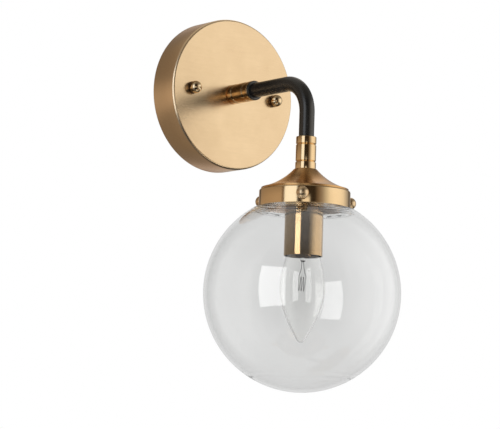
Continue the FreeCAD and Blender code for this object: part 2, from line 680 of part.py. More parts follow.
# ------------------------------------------------------------------- wires
def tube_path(pts, radii, r):
    """Round cable along straight runs joined by tangent arcs."""
    edges = []
    cur = pts[0]
    for i in range(1, len(pts) - 1):
        p = pts[i]
        d0 = (p - pts[i - 1]); d0.normalize()
        d1 = (pts[i + 1] - p); d1.normalize()
        ang = d0.getAngle(d1)
        R_ = radii[i - 1]
        t = R_ * math.tan(ang / 2)
        a = p - d0 * t
        c_ = p + d1 * t
        if (a - cur).Length > 1e-6:
            edges.append(Part.LineSegment(cur, a).toShape())
        mid_dir = (d1 - d0); mid_dir.normalize()
        cen = p + mid_dir * (R_ / math.cos(ang / 2))
        m = cen - mid_dir * R_
        edges.append(Part.Arc(a, m, c_).toShape())
        cur = c_
    edges.append(Part.LineSegment(cur, pts[-1]).toShape())
    w_ = Part.Wire(edges)
    L_ = w_.Length
    d = (pts[1] - pts[0]); d.normalize()
    circ = Part.Wire([Part.Circle(pts[0], d, r).toShape()])
    sh = w_.makePipeShell([circ], True, False)
    want = math.pi * r * r * L_
    if abs(sh.Volume - want) > 0.02 * want:
        raise RuntimeError("cable volume %.2f against %.2f" % (sh.Volume, want))
    print("cable length %.1f radii %s" % (L_, radii))
    return sh


S = sheet.get
wr_, wx_, rc_, bd_ = S("wire_r"), S("wire_x"), S("reach"), S("bend_r")
for label, s in (("line_wire", 1), ("neutral_wire", -1)):
    x1 = s * wx_
    pts = [V(s * 14.0, -7.0, -13.0), V(s * 14.0, -7.0, 0.0), V(x1, -7.0, 0.0), V(x1, -rc_, 0),
           V(x1, -rc_, -95.3), V(s * 4.6, -rc_, -97.7), V(s * 4.6, -rc_, -101.2)]
    rad = [5.0, 4.6, bd_, 1.8, 1.8]
    feature(label, tube_path(pts, rad, wr_), False)

pts = [V(27.0 - 2.75, -2.95, 18.0), V(27.0 - 2.75, -2.95, 12.0), V(25.0, -7.0, 4.0), V(25.0, -7.0, -13.0)]
feature("ground_wire", tube_path(pts, [3.0, 5.0], wr_), False)

conn = []
for k, x in enumerate((14.0, -14.0, 25.0)):
    c = doc.addObject("Part::Cone", "connector_%d" % k)
    c.Radius1 = 3.9
    c.Radius2 = 2.6
    c.Height = 15.0
    c.Placement = FreeCAD.Placement(V(x, -7.0, -13.05), FreeCAD.Rotation(V(1, 0, 0), 180))
    conn.append(c)
group("wire_connectors", conn)

# ------------------------------------------------------------------ checks
doc.recompute()
bad = []
for o in doc.Objects:
    st = list(getattr(o, "State", []))
    if "Invalid" in st or "Error" in st:
        bad.append("%s %s" % (o.Name, st))
for o in PARTS:
    sh = o.Shape
    if sh.isNull() or not sh.isValid() or not sh.Solids:
        bad.append("shape of %s" % o.Label)
if bad:
    raise RuntimeError("; ".join(bad))

os.makedirs("parts", exist_ok=True)
for o in PARTS:
    o.Shape.exportStep("parts/%s.step" % o.Label)
    bb = o.Shape.optimalBoundingBox()
    print("%-18s solids %d vol %9.1f  x %.2f..%.2f y %.2f..%.2f z %.2f..%.2f" % (
        o.Label, len(o.Shape.Solids), o.Shape.Volume, bb.XMin, bb.XMax, bb.YMin, bb.YMax, bb.ZMin, bb.ZMax))
print(len(PARTS), "pieces")
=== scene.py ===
import json
import math
import bmesh
import bpy
import numpy as np
from mathutils import Matrix, Vector


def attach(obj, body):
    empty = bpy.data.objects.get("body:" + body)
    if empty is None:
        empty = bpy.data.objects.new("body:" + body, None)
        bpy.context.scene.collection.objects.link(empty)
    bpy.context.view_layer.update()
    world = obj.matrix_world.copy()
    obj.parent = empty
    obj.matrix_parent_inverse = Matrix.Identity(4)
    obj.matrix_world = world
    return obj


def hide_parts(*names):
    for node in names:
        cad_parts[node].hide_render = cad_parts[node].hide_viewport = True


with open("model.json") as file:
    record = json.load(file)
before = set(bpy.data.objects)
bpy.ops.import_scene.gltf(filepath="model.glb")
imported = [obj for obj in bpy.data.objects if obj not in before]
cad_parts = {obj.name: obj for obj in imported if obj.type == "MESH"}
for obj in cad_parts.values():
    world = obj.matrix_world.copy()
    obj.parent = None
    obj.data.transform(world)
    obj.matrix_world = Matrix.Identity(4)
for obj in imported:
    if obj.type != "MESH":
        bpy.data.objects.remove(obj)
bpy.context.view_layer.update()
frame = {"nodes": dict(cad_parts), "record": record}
SC = bpy.context.scene
NODES = frame["nodes"]

MM = 0.001
REACH = 117.2            # lamp axis, in front of the wall
PLATE_D = 26.0
STUD_X = 40.7
SCREW_Z = -91.75
SCREWS = (("front", -42.4), ("left", -162.4), ("right", 77.6))


# =====================================================================
# camera and surroundings
# =====================================================================
def make_camera():
    az, el, roll = math.radians(-38.54), math.radians(-7.29), math.radians(1.76)
    dist = 1.8367
    back = Vector((math.sin(az) * math.cos(el), -math.cos(az) * math.cos(el), math.sin(el)))
    right = Vector((0, 0, 1)).cross(back).normalized()
    up = back.cross(right)
    r2 = math.cos(roll) * right + math.sin(roll) * up
    u2 = -math.sin(roll) * right + math.cos(roll) * up
    target = Vector((-0.00789, -0.06122, -0.09965))
    loc = target + back * dist
    cam = bpy.data.cameras.new("camera")
    cam.sensor_fit = "HORIZONTAL"
    cam.sensor_width = 36.0
    cam.lens = 2372.6 / 500.0 * 36.0
    cam.clip_start = 0.05
    cam.clip_end = 50
    cam.dof.use_dof = False
    ob = bpy.data.objects.new("camera", cam)
    m = Matrix((r2, u2, back)).transposed().to_4x4()
    m.translation = loc
    ob.matrix_world = m
    SC.collection.objects.link(ob)
    SC.camera = ob
    return ob


CAM = make_camera()


class Net:
    """Small helper for node trees."""
    def __init__(self, tree):
        self.t = tree

    def n(self, kind, **kw):
        nd = self.t.nodes.new(kind)
        for k, v in kw.items():
            if k == "ins":
                for i, val in v.items():
                    self.put(nd.inputs[i], val)
            else:
                setattr(nd, k, v)
        return nd

    def put(self, sock, val):
        if hasattr(val, "is_output") or isinstance(val, bpy.types.NodeSocket):
            self.t.links.new(val, sock)
        else:
            sock.default_value = val

    def math(self, op, a, b=None, c=None, clamp=False):
        nd = self.t.nodes.new("ShaderNodeMath")
        nd.operation = op
        nd.use_clamp = clamp
        self.put(nd.inputs[0], a)
        if b is not None:
            self.put(nd.inputs[1], b)
        if c is not None:
            self.put(nd.inputs[2], c)
        return nd.outputs[0]

    def ramp(self, fac, stops, interp="LINEAR"):
        nd = self.t.nodes.new("ShaderNodeValToRGB")
        nd.color_ramp.interpolation = interp
        el = nd.color_ramp.elements
        while len(el) > 1:
            el.remove(el[-1])
        el[0].position = stops[0][0]
        el[0].color = stops[0][1]
        for p, c in stops[1:]:
            e = el.new(p)
            e.color = c
        self.put(nd.inputs[0], fac)
        return nd

    def mix(self, fac, a, b, mode="MIX"):
        nd = self.t.nodes.new("ShaderNodeMix")
        nd.data_type = "RGBA"
        nd.blend_type = mode
        self.put(nd.inputs[0], fac)
        self.put(nd.inputs[6], a)
        self.put(nd.inputs[7], b)
        return nd.outputs[2]


def studio():
    """A light tent: white behind, one tall soft box on the camera's left, a
    broad soft wall on its right, dark between them, dim above and below.
    Mirror-smooth glass sees the tent as it is; satin metal sees it dimmer,
    the way a print holds its highlights back."""
    w = bpy.data.worlds.new("studio")
    SC.world = w
    w.use_nodes = True
    t = w.node_tree
    t.nodes.clear()
    N = Net(t)
    tc = t.nodes.new("ShaderNodeTexCoord")
    sep = t.nodes.new("ShaderNodeSeparateXYZ")
    t.links.new(tc.outputs["Generated"], sep.inputs[0])
    x, y, z = sep.outputs
    bx, by = -0.6230, -0.7822          # from the lamp towards the camera
    rx, ry = 0.7822, -0.6230           # towards the camera's right
    db = N.math("ADD", N.math("MULTIPLY", x, bx), N.math("MULTIPLY", y, by))
    dr = N.math("ADD", N.math("MULTIPLY", x, rx), N.math("MULTIPLY", y, ry))
    az = N.math("ARCTAN2", dr, db)
    fac = N.math("ADD", N.math("MULTIPLY", az, 0.5 / math.pi), 0.5)
    elf = N.math("ADD", N.math("MULTIPLY", N.math("ARCSINE", z), 1.0 / math.pi), 0.5)

    def st(d, r, g=None, b=None):
        g = r if g is None else g
        b = r if b is None else b
        return ((d + 180.0) / 360.0, (r, g, b, 1.0))

    def se(d, v):
        return ((d + 90.0) / 180.0, (v, v, v, 1.0))
    # angle from the line that runs straight away from the camera, over 180
    away = N.math("ADD", N.math("ADD", N.math("MULTIPLY", x, .6366), N.math("MULTIPLY", y, .7648)), N.math("MULTIPLY", z, .0951))
    off = N.math("MULTIPLY", N.math("ARCCOSINE", away), 1.0 / math.pi)

    def so(d, v):
        return (d / 180.0, (v, v, v, 1.0))
    # what satin metal sees all round
    ring = N.ramp(fac, [
        st(-180, .50, .42, .375), st(-164, .47, .39, .34), st(-150, .38, .31, .25), st(-140, .41, .325, .245),
        st(-62, .50, .405, .325), st(-59, .20, .15, .11), st(-55, .20, .15, .11), st(-52, 1.22, 1.35, 1.58),
        st(-22, 1.22, 1.35, 1.58), st(-19, .035, .024, .016), st(24, .035, .026, .018), st(34, .20, .155, .12), st(44, .36, .33, .31),
        st(54, .66, .66, .64), st(66, 1.03), st(78, 1.13), st(98, 1.10), st(112, .96), st(126, .62), st(138, .38), st(144, .15, .14, .13),
        st(156, .15, .14, .13), st(163, .42), st(180, .46)])
    # a narrow upright gap in the wall behind, on the left
    gap = N.ramp(fac, [st(-180, 0), st(-164, 0), st(-158, 1), st(-150, 1), st(-144, 0), st(180, 0)])
    gape = N.ramp(elf, [se(-90, 0), se(-14, 0), se(-4, 1), se(14, 1), se(24, 0), se(90, 0)])
    ring0 = N.mix(N.math("MULTIPLY", gap.outputs[0], gape.outputs[0]), ring.outputs[0], (.10, .085, .07, 1))
    elm = N.ramp(elf, [se(-90, .10), se(-46, .08), se(-34, .14), se(-27, .40), se(-17, 1), se(25, 1), se(36, .30), se(52, .38), se(90, .38)])
    elb = N.ramp(elf, [se(-90, .14), se(-46, .22), se(-34, .40), se(-18, 1), se(25, 1), se(36, .62), se(52, .56), se(90, .56)])
    ell = N.ramp(elf, [se(-90, .30), se(-46, .46), se(-30, .50), se(-17, .50), se(-11, .72), se(-5, 1), se(4, 1), se(8, .86), se(12, .74),
                       se(17, .50), se(28, .50), se(40, .56), se(90, .56)])
    rear = N.ramp(fac, [st(-180, 1), st(-170, 1), st(-158, 0), st(158, 0), st(170, 1), st(180, 1)])
    left = N.ramp(fac, [st(-180, 0), st(-172, 0), st(-160, 1), st(-61, 1), st(-53, 0), st(180, 0)])
    mask = N.mix(rear.outputs[0], elm.outputs[0], elb.outputs[0])
    mask = N.mix(left.outputs[0], mask, ell.outputs[0])
    metal = N.mix(1.0, ring0, mask, "MULTIPLY")
    # overhead: lighter behind and to the left, darker towards the camera
    hi = N.ramp(fac, [st(-180, .52, .50, .47), st(-114, .45, .43, .40), st(-60, .33, .31, .28), st(-33, .27, .25, .22), st(0, .17, .155, .135),
                      st(30, .145, .13, .11), st(97, .21, .20, .18), st(140, .25, .24, .22), st(158, .40, .38, .35), st(180, .52, .50, .47)])
    lid = N.ramp(elf, [se(-90, 0), se(38, 0), se(54, 1), se(90, 1)])
    metal = N.mix(lid.outputs[0], metal, hi.outputs[0])
    # the bright top of the wall behind, right
    ra = N.ramp(fac, [st(-180, .5), st(-172, 0), st(150, 0), st(159, 1), st(176, 1), st(180, .5)])
    re = N.ramp(elf, [se(-90, 0), se(24, 0), se(33, 1), se(46, 1), se(54, 0), se(90, 0)])
    spot = N.mix(1.0, ra.outputs[0], re.outputs[0], "MULTIPLY")
    metal = N.mix(1.0, metal, N.mix(1.0, spot, (.60, .54, .45, 1), "MULTIPLY"), "ADD")
    # a small soft box beside the camera, a little below it
    ta = N.ramp(fac, [st(-180, 0), st(-10, 0), st(-5, 1), st(9, 1), st(14, 0), st(180, 0)])
    te = N.ramp(elf, [se(-90, 0), se(-22, 0), se(-15, 1), se(-3, 1), se(2, .20), se(4.5, 0), se(90, 0)])
    topbox = N.mix(1.0, ta.outputs[0], te.outputs[0], "MULTIPLY")
    metal = N.mix(1.0, metal, N.mix(1.0, topbox, (1.0, 1.0, 1.0, 1), "MULTIPLY"), "ADD")
    # what clear glass sees: soft walls all round and the one hard-edged box
    gl = N.ramp(fac, [
        st(-180, .60), st(-160, .56), st(-140, .38), st(-75, .28), st(-56, .16), st(-50, .10), st(-20, .05), st(28, .05), st(44, .45),
        st(60, 1.10), st(80, 1.62), st(125, 1.60), st(142, .90), st(160, .62), st(180, .60)], "EASE")
    elg = N.ramp(elf, [se(-90, 0), se(-62, 0), se(-8, 1), se(24, 1), se(70, 0), se(90, 0)], "EASE")
    clear0 = N.mix(elg.outputs[0], (.62, .62, .62, 1), gl.outputs[0])
    ba = N.ramp(fac, [st(-180, 0), st(-53, 0), st(-52, 1), st(-21.5, 1), st(-20.5, 0), st(180, 0)])
    be = N.ramp(elf, [se(-90, 0), se(-19.5, 0), se(-18.5, 1), se(24, 1), se(25, 0), se(90, 0)])
    window = N.mix(1.0, ba.outputs[0], be.outputs[0], "MULTIPLY")
    clear0 = N.mix(window, clear0, (3.6, 3.6, 3.6, 1))
    back = N.ramp(off, [so(0, .77), so(6, .77), so(9, .75), so(13, .71), so(24, .73), so(34, .70), so(180, .66)])
    near = N.ramp(off, [so(0, 1), so(24, 1), so(36, 0), so(180, 0)])
    clear = N.mix(near.outputs[0], clear0, back.outputs[0])
    lp = t.nodes.new("ShaderNodeLightPath")
    # what is seen through the glass is the pale paper, whichever way it is
    # looked at; only what the glass mirrors shows the walls and the box
    mirrored = N.math("GREATER_THAN", lp.outputs["Glossy Depth"], 0.5)
    clear = N.mix(mirrored, back.outputs[0], clear)
    c = N.mix(lp.outputs["Is Singular Ray"], metal, clear)
    soft = N.mix(lp.outputs["Is Diffuse Ray"], c, (.62, .61, .60, 1))
    bg = N.n("ShaderNodeBackground", ins={0: soft, 1: 1.0})
    white = N.n("ShaderNodeBackground", ins={0: (1, 1, 1, 1), 1: 1.0})
    ms = t.nodes.new("ShaderNodeMixShader")
    t.links.new(lp.outputs["Is Camera Ray"], ms.inputs[0])
    t.links.new(bg.outputs[0], ms.inputs[1])
    t.links.new(white.outputs[0], ms.inputs[2])
    out = t.nodes.new("ShaderNodeOutputWorld")
    t.links.new(ms.outputs[0], out.inputs[0])


studio()
SC.view_settings.view_transform = "Standard"
SC.view_settings.look = "None"
SC.cycles.max_bounces = 24
SC.cycles.transmission_bounces = 20
SC.cycles.glossy_bounces = 8
SC.cycles.transparent_max_bounces = 16


# =====================================================================
# mesh helpers (all sizes in mm, in the row frame)
# =====================================================================
def rounded(pts, closed=True):
    """pts: (r, a) or (r, a, radius, n): corners with a radius become arcs."""
    out = []
    n = len(pts)
    for i, p in enumerate(pts):
        if len(p) < 3 or p[2] <= 0 or (not closed and i in (0, n - 1)):
            out.append((p[0], p[1]))
            continue
        rad = p[2]
        seg = p[3] if len(p) > 3 else 4
        P = Vector(p[:2])
        A = Vector(pts[(i - 1) % n][:2]) - P
        B = Vector(pts[(i + 1) % n][:2]) - P
        la, lb = A.length, B.length
        A.normalize(); B.normalize()
        ang = A.angle(B)
        if ang < 1e-3 or abs(ang - math.pi) < 1e-3:
            out.append((p[0], p[1]))
            continue
        tl = min(rad / math.tan(ang / 2), la * 0.49, lb * 0.49)
        rr = tl * math.tan(ang / 2)
        c = P + (A + B).normalized() * (rr / math.sin(ang / 2))
        s = P + A * tl - c
        e = P + B * tl - c
        sweep = math.pi - ang
        a0 = math.atan2(s.y, s.x)
        d = math.atan2(s.x * e.y - s.y * e.x, s.dot(e))
        for k in range(seg + 1):
            a = a0 + d * k / seg
            out.append((c.x + rr * math.cos(a), c.y + rr * math.sin(a)))
    return out


def arc(cx, cy, r, a0, a1, n):
    """Points of an arc in the (radius, axial) plane, angles in degrees."""
    return [(cx + r * math.cos(math.radians(a0 + (a1 - a0) * i / n)),
             cy + r * math.sin(math.radians(a0 + (a1 - a0) * i / n))) for i in range(n + 1)]


def frame_of(axis, origin):
    """Matrix whose local z is the axis."""
    ax = Vector(axis).normalized()
    ref = Vector((0, 0, 1)) if abs(ax.z) < 0.9 else Vector((1, 0, 0))
    u = ref.cross(ax).normalized()
    v = ax.cross(u)
    m = Matrix((u, v, ax)).transposed().to_4x4()
    m.translation = Vector(origin)
    return m


def add_mesh(name, verts, faces, mat, smooth_angle=32.0):
    me = bpy.data.meshes.new(name)
    me.from_pydata([tuple(c * MM for c in v) for v in verts], [], faces)
    me.validate()
    me.update()
    for p in me.polygons:
        p.use_smooth = True
    me.set_sharp_from_angle(angle=math.radians(smooth_angle))
    ob = bpy.data.objects.new(name, me)
    SC.collection.objects.link(ob)
    if mat:
        me.materials.append(mat)
    return ob


def lathe_geo(profile, axis, origin, segs=128, closed=True, dents=None):
    """Rings of verts and quads from a profile turned about an axis."""
    m = frame_of(axis, origin)
    verts, faces = [], []
    index = []
    for (r, a) in profile:
        if r < 1e-5:
            verts.append(m @ Vector((0, 0, a)))
            index.append([len(verts) - 1] * segs)
        else:
            row = []
            for k in range(segs):
                t = 2 * math.pi * k / segs
                rr = r
                aa = a
                if dents:
                    rr, aa = dents(r, a, t)
                verts.append(m @ Vector((rr * math.cos(t), rr * math.sin(t), aa)))
                row.append(len(verts) - 1)
            index.append(row)
    n = len(profile)
    for i in range(n if closed else n - 1):
        A, B = index[i], index[(i + 1) % n]
        if A[0] == A[1] and B[0] == B[1]:
            continue
        for k in range(segs):
            k2 = (k + 1) % segs
            if A[0] == A[1]:
                faces.append((A[0], B[k2], B[k]))
            elif B[0] == B[1]:
                faces.append((A[k], A[k2], B[0]))
            else:
                faces.append((A[k], A[k2], B[k2], B[k]))
    return verts, faces


def fix_normals(ob):
    bm = bmesh.new()
    bm.from_mesh(ob.data)
    bmesh.ops.recalc_face_normals(bm, faces=bm.faces)
    bm.to_mesh(ob.data)
    bm.free()
    return ob


def lathe(name, profile, axis, origin, mat, segs=128, smooth=32.0, closed=True, dents=None):
    v, f = lathe_geo(profile, axis, origin, segs, closed, dents)
    return fix_normals(add_mesh(name, v, f, mat, smooth))


def sweep_geo(points, radius, segs=24, caps=True, twist0=None):
    """Round tube along points with a rotation-minimising frame."""
    P = [Vector(p) for p in points]
    T = []
    for i in range(len(P)):
        a = P[max(i - 1, 0)]
        b = P[min(i + 1, len(P) - 1)]
        T.append((b - a).normalized())
    ref = Vector((1, 0, 0)) if abs(T[0].x) < 0.9 else Vector((0, 0, 1))
    u = (ref - T[0] * ref.dot(T[0])).normalized()
    verts, faces = [], []
    for i, p in enumerate(P):
        if i:
            ax = T[i - 1].cross(T[i])
            if ax.length > 1e-9:
                u = Matrix.Rotation(T[i - 1].angle(T[i]), 3, ax.normalized()) @ u
            u = (u - T[i] * u.dot(T[i])).normalized()
        v = T[i].cross(u)
        rr = radius(i / (len(P) - 1)) if callable(radius) else radius
        for k in range(segs):
            t = 2 * math.pi * k / segs
            verts.append(p + (u * math.cos(t) + v * math.sin(t)) * rr)
    for i in range(len(P) - 1):
        for k in range(segs):
            a = i * segs + k
            b = i * segs + (k + 1) % segs
            faces.append((a, b, b + segs, a + segs))
    if caps:
        faces.append(tuple(range(segs))[::-1])
        faces.append(tuple(range((len(P) - 1) * segs, len(P) * segs)))
    return verts, faces


def joined(name, parts, mat, smooth=32.0):
    """One object out of several (verts, faces)."""
    V_, F_ = [], []
    for v, f in parts:
        o = len(V_)
        V_ += list(v)
        F_ += [tuple(i + o for i in q) for q in f]
    return fix_normals(add_mesh(name, V_, F_, mat, smooth))


def done(ob, body, slot, *nodes):
    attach(ob, body)
    if nodes:
        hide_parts(*nodes)
    return ob


# =====================================================================
# materials
# =====================================================================
def new_mat(name):
    m = bpy.data.materials.new(name)
    m.use_nodes = True
    t = m.node_tree
    t.nodes.clear()
    out = t.nodes.new("ShaderNodeOutputMaterial")
    bs = t.nodes.new("ShaderNodeBsdfPrincipled")
    t.links.new(bs.outputs[0], out.inputs[0])
    tc = t.nodes.new("ShaderNodeTexCoord")
    return m, Net(t), bs, tc


def brass(name, base, dark, rough, grain_axis, grain_scale=9000.0, grain=0.25, cloud=0.12, bump=0.00002, aniso=0.0, rough_var=0.05, inside=None, pan_light_shade=False, nut=False):
    """Satin brass.  grain_axis: 'y' or 'z' for turning marks that circle that
    axis, 'x' for straight brush marks that run along X."""
    m, N, bs, tc = new_mat(name)
    co = tc.outputs["Object"]
    mp = N.n("ShaderNodeMapping", ins={0: co})
    s = {"z": (120.0, 120.0, grain_scale), "y": (120.0, grain_scale, 120.0), "x": (60.0, grain_scale, grain_scale)}[grain_axis]
    mp.inputs["Scale"].default_value = s
    fine = N.n("ShaderNodeTexNoise", ins={"Vector": mp.outputs[0], "Scale": 1.0, "Detail": 3.0, "Roughness": 0.6})
    big = N.n("ShaderNodeTexNoise", ins={"Vector": co, "Scale": 55.0, "Detail": 4.0, "Roughness": 0.55})
    spots = N.n("ShaderNodeTexNoise", ins={"Vector": co, "Scale": 900.0, "Detail": 2.0, "Roughness": 0.5})
    c1 = N.ramp(big.outputs["Fac"], [(0.30, (0, 0, 0, 1)), (0.72, (1, 1, 1, 1))])
    col = N.mix(N.math("MULTIPLY", c1.outputs[0], cloud), base + (1,), dark + (1,))
    c2 = N.ramp(fine.outputs["Fac"], [(0.35, (0, 0, 0, 1)), (0.70, (1, 1, 1, 1))])
    col = N.mix(N.math("MULTIPLY", c2.outputs[0], grain * 0.35), col, dark + (1,))
    if inside:
        # painted shade: the inside of a drawn cup, nearer the lamp's axis than this and lower than the given height,
        # takes a darker colour as if shaded
        sp = N.n("ShaderNodeSeparateXYZ", ins={0: co})
        yy = N.math("ADD", sp.outputs[1], REACH * MM)
        rad = N.math("SQRT", N.math("ADD", N.math("MULTIPLY", sp.outputs[0], sp.outputs[0]), N.math("MULTIPLY", yy, yy)))
        inner = N.math("LESS_THAN", rad, inside[0])
        low = N.math("LESS_THAN", sp.outputs[2], inside[1])
        col = N.mix(N.math("MULTIPLY", inner, low), col, inside[2] + (1,))
    if pan_light_shade:
        # painted light and shade: the spun wall is painted brighter than the brushed face, most of all near
        # its front edge; painted shade deepens the face a little towards its left edge
        sp = N.n("ShaderNodeSeparateXYZ", ins={0: co})
        wall = N.ramp(N.math("MULTIPLY", sp.outputs[1], -1.0 / 0.026), [
            (0.0, (1.02, 1.02, 1.04, 1)), (0.55, (1.08, 1.08, 1.10, 1)), (0.92, (1.20, 1.21, 1.24, 1)), (0.985, (1.20, 1.21, 1.24, 1)), (0.999, (1, 1, 1, 1))])
        col = N.mix(1.0, col, wall.outputs[0], "MULTIPLY")
        sx = N.math("SUBTRACT", N.math("MULTIPLY", sp.outputs[0], -1.0), N.math("MULTIPLY", sp.outputs[2], 0.35))
        side = N.ramp(N.math("MULTIPLY", sx, 1.0 / 0.06), [(0.30, (1, 1, 1, 1)), (0.72, (.93, .92, .91, 1)), (1.0, (.93, .92, .91, 1))], "EASE")
        front = N.math("LESS_THAN", sp.outputs[1], -0.0259)
        col = N.mix(front, col, N.mix(1.0, col, side.outputs[0], "MULTIPLY"))
    if nut:
        # painted shade in the groove and on the base, next to the plate
        sp = N.n("ShaderNodeSeparateXYZ", ins={0: co})
        t0 = N.math("MULTIPLY", N.math("ADD", sp.outputs[1], PLATE_D * MM), -1.0 / 0.0084)
        low = N.ramp(t0, [(0.0, (.20, .16, .13, 1)), (0.16, (.26, .21, .17, 1)), (0.34, (.62, .58, .54, 1)), (0.50, (1, 1, 1, 1))], "EASE")
        col = N.mix(1.0, col, low.outputs[0], "MULTIPLY")
    N.put(bs.inputs["Base Color"], col)
    bs.inputs["Metallic"].default_value = 1.0
    r = N.math("ADD", rough, N.math("MULTIPLY", N.math("SUBTRACT", fine.outputs["Fac"], 0.5), grain * 0.35))
    r = N.math("ADD", r, N.math("MULTIPLY", N.math("SUBTRACT", big.outputs["Fac"], 0.5), rough_var))
    r = N.math("ADD", r, N.math("MULTIPLY", N.math("SUBTRACT", spots.outputs["Fac"], 0.5), rough_var * 0.6), clamp=True)
    N.put(bs.inputs["Roughness"], r)
    b = N.n("ShaderNodeBump", ins={"Height": fine.outputs["Fac"], "Strength": 0.35, "Distance": bump})
    N.put(bs.inputs["Normal"], b.outputs[0])
    if aniso:
        bs.inputs["Anisotropic"].default_value = aniso
    return m


def painted(name, base, rough=0.35, spec=0.5, grain=0.05):
    """Satin lacquer with a faint orange-peel."""
    m, N, bs, tc = new_mat(name)
    co = tc.outputs["Object"]
    peel = N.n("ShaderNodeTexNoise", ins={"Vector": co, "Scale": 700.0, "Detail": 3.0, "Roughness": 0.5})
    dust = N.n("ShaderNodeTexNoise", ins={"Vector": co, "Scale": 60.0, "Detail": 5.0, "Roughness": 0.6})
    lift = tuple(min(1, c * 1.6 + 0.004) for c in base)
    f = N.ramp(dust.outputs["Fac"], [(0.35, (0, 0, 0, 1)), (0.75, (1, 1, 1, 1))])
    N.put(bs.inputs["Base Color"], N.mix(N.math("MULTIPLY", f.outputs[0], 0.5), base + (1,), lift + (1,)))
    r = N.math("ADD", rough, N.math("MULTIPLY", N.math("SUBTRACT", peel.outputs["Fac"], 0.5), grain * 0.7))
    r = N.math("ADD", r, N.math("MULTIPLY", N.math("SUBTRACT", dust.outputs["Fac"], 0.5), 0.08), clamp=True)
    N.put(bs.inputs["Roughness"], r)
    bs.inputs["Specular IOR Level"].default_value = spec
    bs.inputs["Specular Tint"].default_value = (1.0, 0.94, 0.84, 1.0)
    b = N.n("ShaderNodeBump", ins={"Height": peel.outputs["Fac"], "Strength": 0.04, "Distance": 0.000003})
    N.put(bs.inputs["Normal"], b.outputs[0])
    return m


def steel(name, base=(0.62, 0.63, 0.64), dark=(0.36, 0.36, 0.36), rough=0.32):
    m, N, bs, tc = new_mat(name)
    co = tc.outputs["Object"]
    sp = N.n("ShaderNodeTexVoronoi", ins={"Vector": co, "Scale": 420.0})
    n1 = N.n("ShaderNodeTexNoise", ins={"Vector": co, "Scale": 90.0, "Detail": 6.0, "Roughness": 0.6})
    f = N.math("ADD", N.math("MULTIPLY", sp.outputs["Distance"], 0.5), N.math("MULTIPLY", n1.outputs["Fac"], 0.6))
    rp = N.ramp(f, [(0.25, base + (1,)), (0.85, dark + (1,))])
    N.put(bs.inputs["Base Color"], rp.outputs[0])
    bs.inputs["Metallic"].default_value = 1.0
    N.put(bs.inputs["Roughness"], N.math("ADD", rough, N.math("MULTIPLY", N.math("SUBTRACT", f, 0.5), 0.25), clamp=True))
    b = N.n("ShaderNodeBump", ins={"Height": n1.outputs["Fac"], "Strength": 0.2, "Distance": 0.00004})
    N.put(bs.inputs["Normal"], b.outputs[0])
    return m


def glass(name, tint, ior=1.5, waves=0.0, scale=14.0):
    m, N, bs, tc = new_mat(name)
    co = tc.outputs["Object"]
    n1 = N.n("ShaderNodeTexNoise", ins={"Vector": co, "Scale": scale, "Detail": 1.0, "Roughness": 0.4})
    dim = tuple(c * 0.985 for c in tint)
    N.put(bs.inputs["Base Color"], N.mix(n1.outputs["Fac"], tint + (1,), dim + (1,)))
    bs.inputs["Roughness"].default_value = 0.0
    bs.inputs["IOR"].default_value = ior
    bs.inputs["Transmission Weight"].default_value = 1.0
    if waves:
        b = N.n("ShaderNodeBump", ins={"Height": n1.outputs["Fac"], "Strength": 1.0, "Distance": waves})
        N.put(bs.inputs["Normal"], b.outputs[0])
    return m


def plain(name, base, base2, rough, scale, bump=0.00003, metallic=0.0, coat=0.0):
    """Moulded or glazed stuff: two close colours, fine pores."""
    m, N, bs, tc = new_mat(name)
    co = tc.outputs["Object"]
    n1 = N.n("ShaderNodeTexNoise", ins={"Vector": co, "Scale": scale, "Detail": 5.0, "Roughness": 0.6})
    n2 = N.n("ShaderNodeTexNoise", ins={"Vector": co, "Scale": scale * 14, "Detail": 2.0})
    N.put(bs.inputs["Base Color"], N.mix(n1.outputs["Fac"], base + (1,), base2 + (1,)))
    N.put(bs.inputs["Roughness"], N.math("ADD", rough, N.math("MULTIPLY", N.math("SUBTRACT", n2.outputs["Fac"], 0.5), 0.12), clamp=True))
    bs.inputs["Metallic"].default_value = metallic
    if coat:
        bs.inputs["Coat Weight"].default_value = coat
        bs.inputs["Coat Roughness"].default_value = 0.08
    b = N.n("ShaderNodeBump", ins={"Height": n2.outputs["Fac"], "Strength": 0.3, "Distance": bump})
    N.put(bs.inputs["Normal"], b.outputs[0])
    return m


# plate brass: painted light on the spun wall, painted shade towards the face's left edge
M_PLATE = brass("plate_brass", (0.820, 0.600, 0.358), (0.64, 0.44, 0.235), 0.25, "x", 2600.0, 0.30, 0.25, 0.000012, pan_light_shade=True)
M_BRASS_Z = brass("satin_brass_z", (0.86, 0.61, 0.33), (0.55, 0.34, 0.15), 0.12, "z", 5200.0, 0.22, 0.18, 0.000010)
# a darker copy of the satin brass: painted shade on the upper coupling, which is the same part as the lower one
M_BRASS_Y_SHADED = brass("satin_brass_y_shaded", (0.74, 0.49, 0.25), (0.44, 0.26, 0.11), 0.12, "y", 5200.0, 0.22, 0.18, 0.000010)
# ring and cover: painted shade on the inside of the cup
M_RING = brass("ring_brass", (0.86, 0.61, 0.33), (0.55, 0.34, 0.15), 0.12, "z", 5200.0, 0.22, 0.18, 0.000010, inside=(0.0340, -0.0860, (0.44, 0.34, 0.27)))
M_COVER = brass("cover_brass", (0.47, 0.325, 0.175), (0.28, 0.17, 0.08), 0.12, "z", 5200.0, 0.26, 0.20, 0.000010, inside=(0.01435, -0.0872, (0.05, 0.03, 0.015)))
M_BELL = brass("bell_brass", (0.68, 0.39, 0.155), (0.44, 0.225, 0.082), 0.28, "z", 3600.0, 0.45, 0.35, 0.000022)
M_BALL = brass("ball_brass", (0.84, 0.61, 0.36), (0.58, 0.38, 0.18), 0.30, "z", 4000.0, 0.10, 0.20, 0.000006)
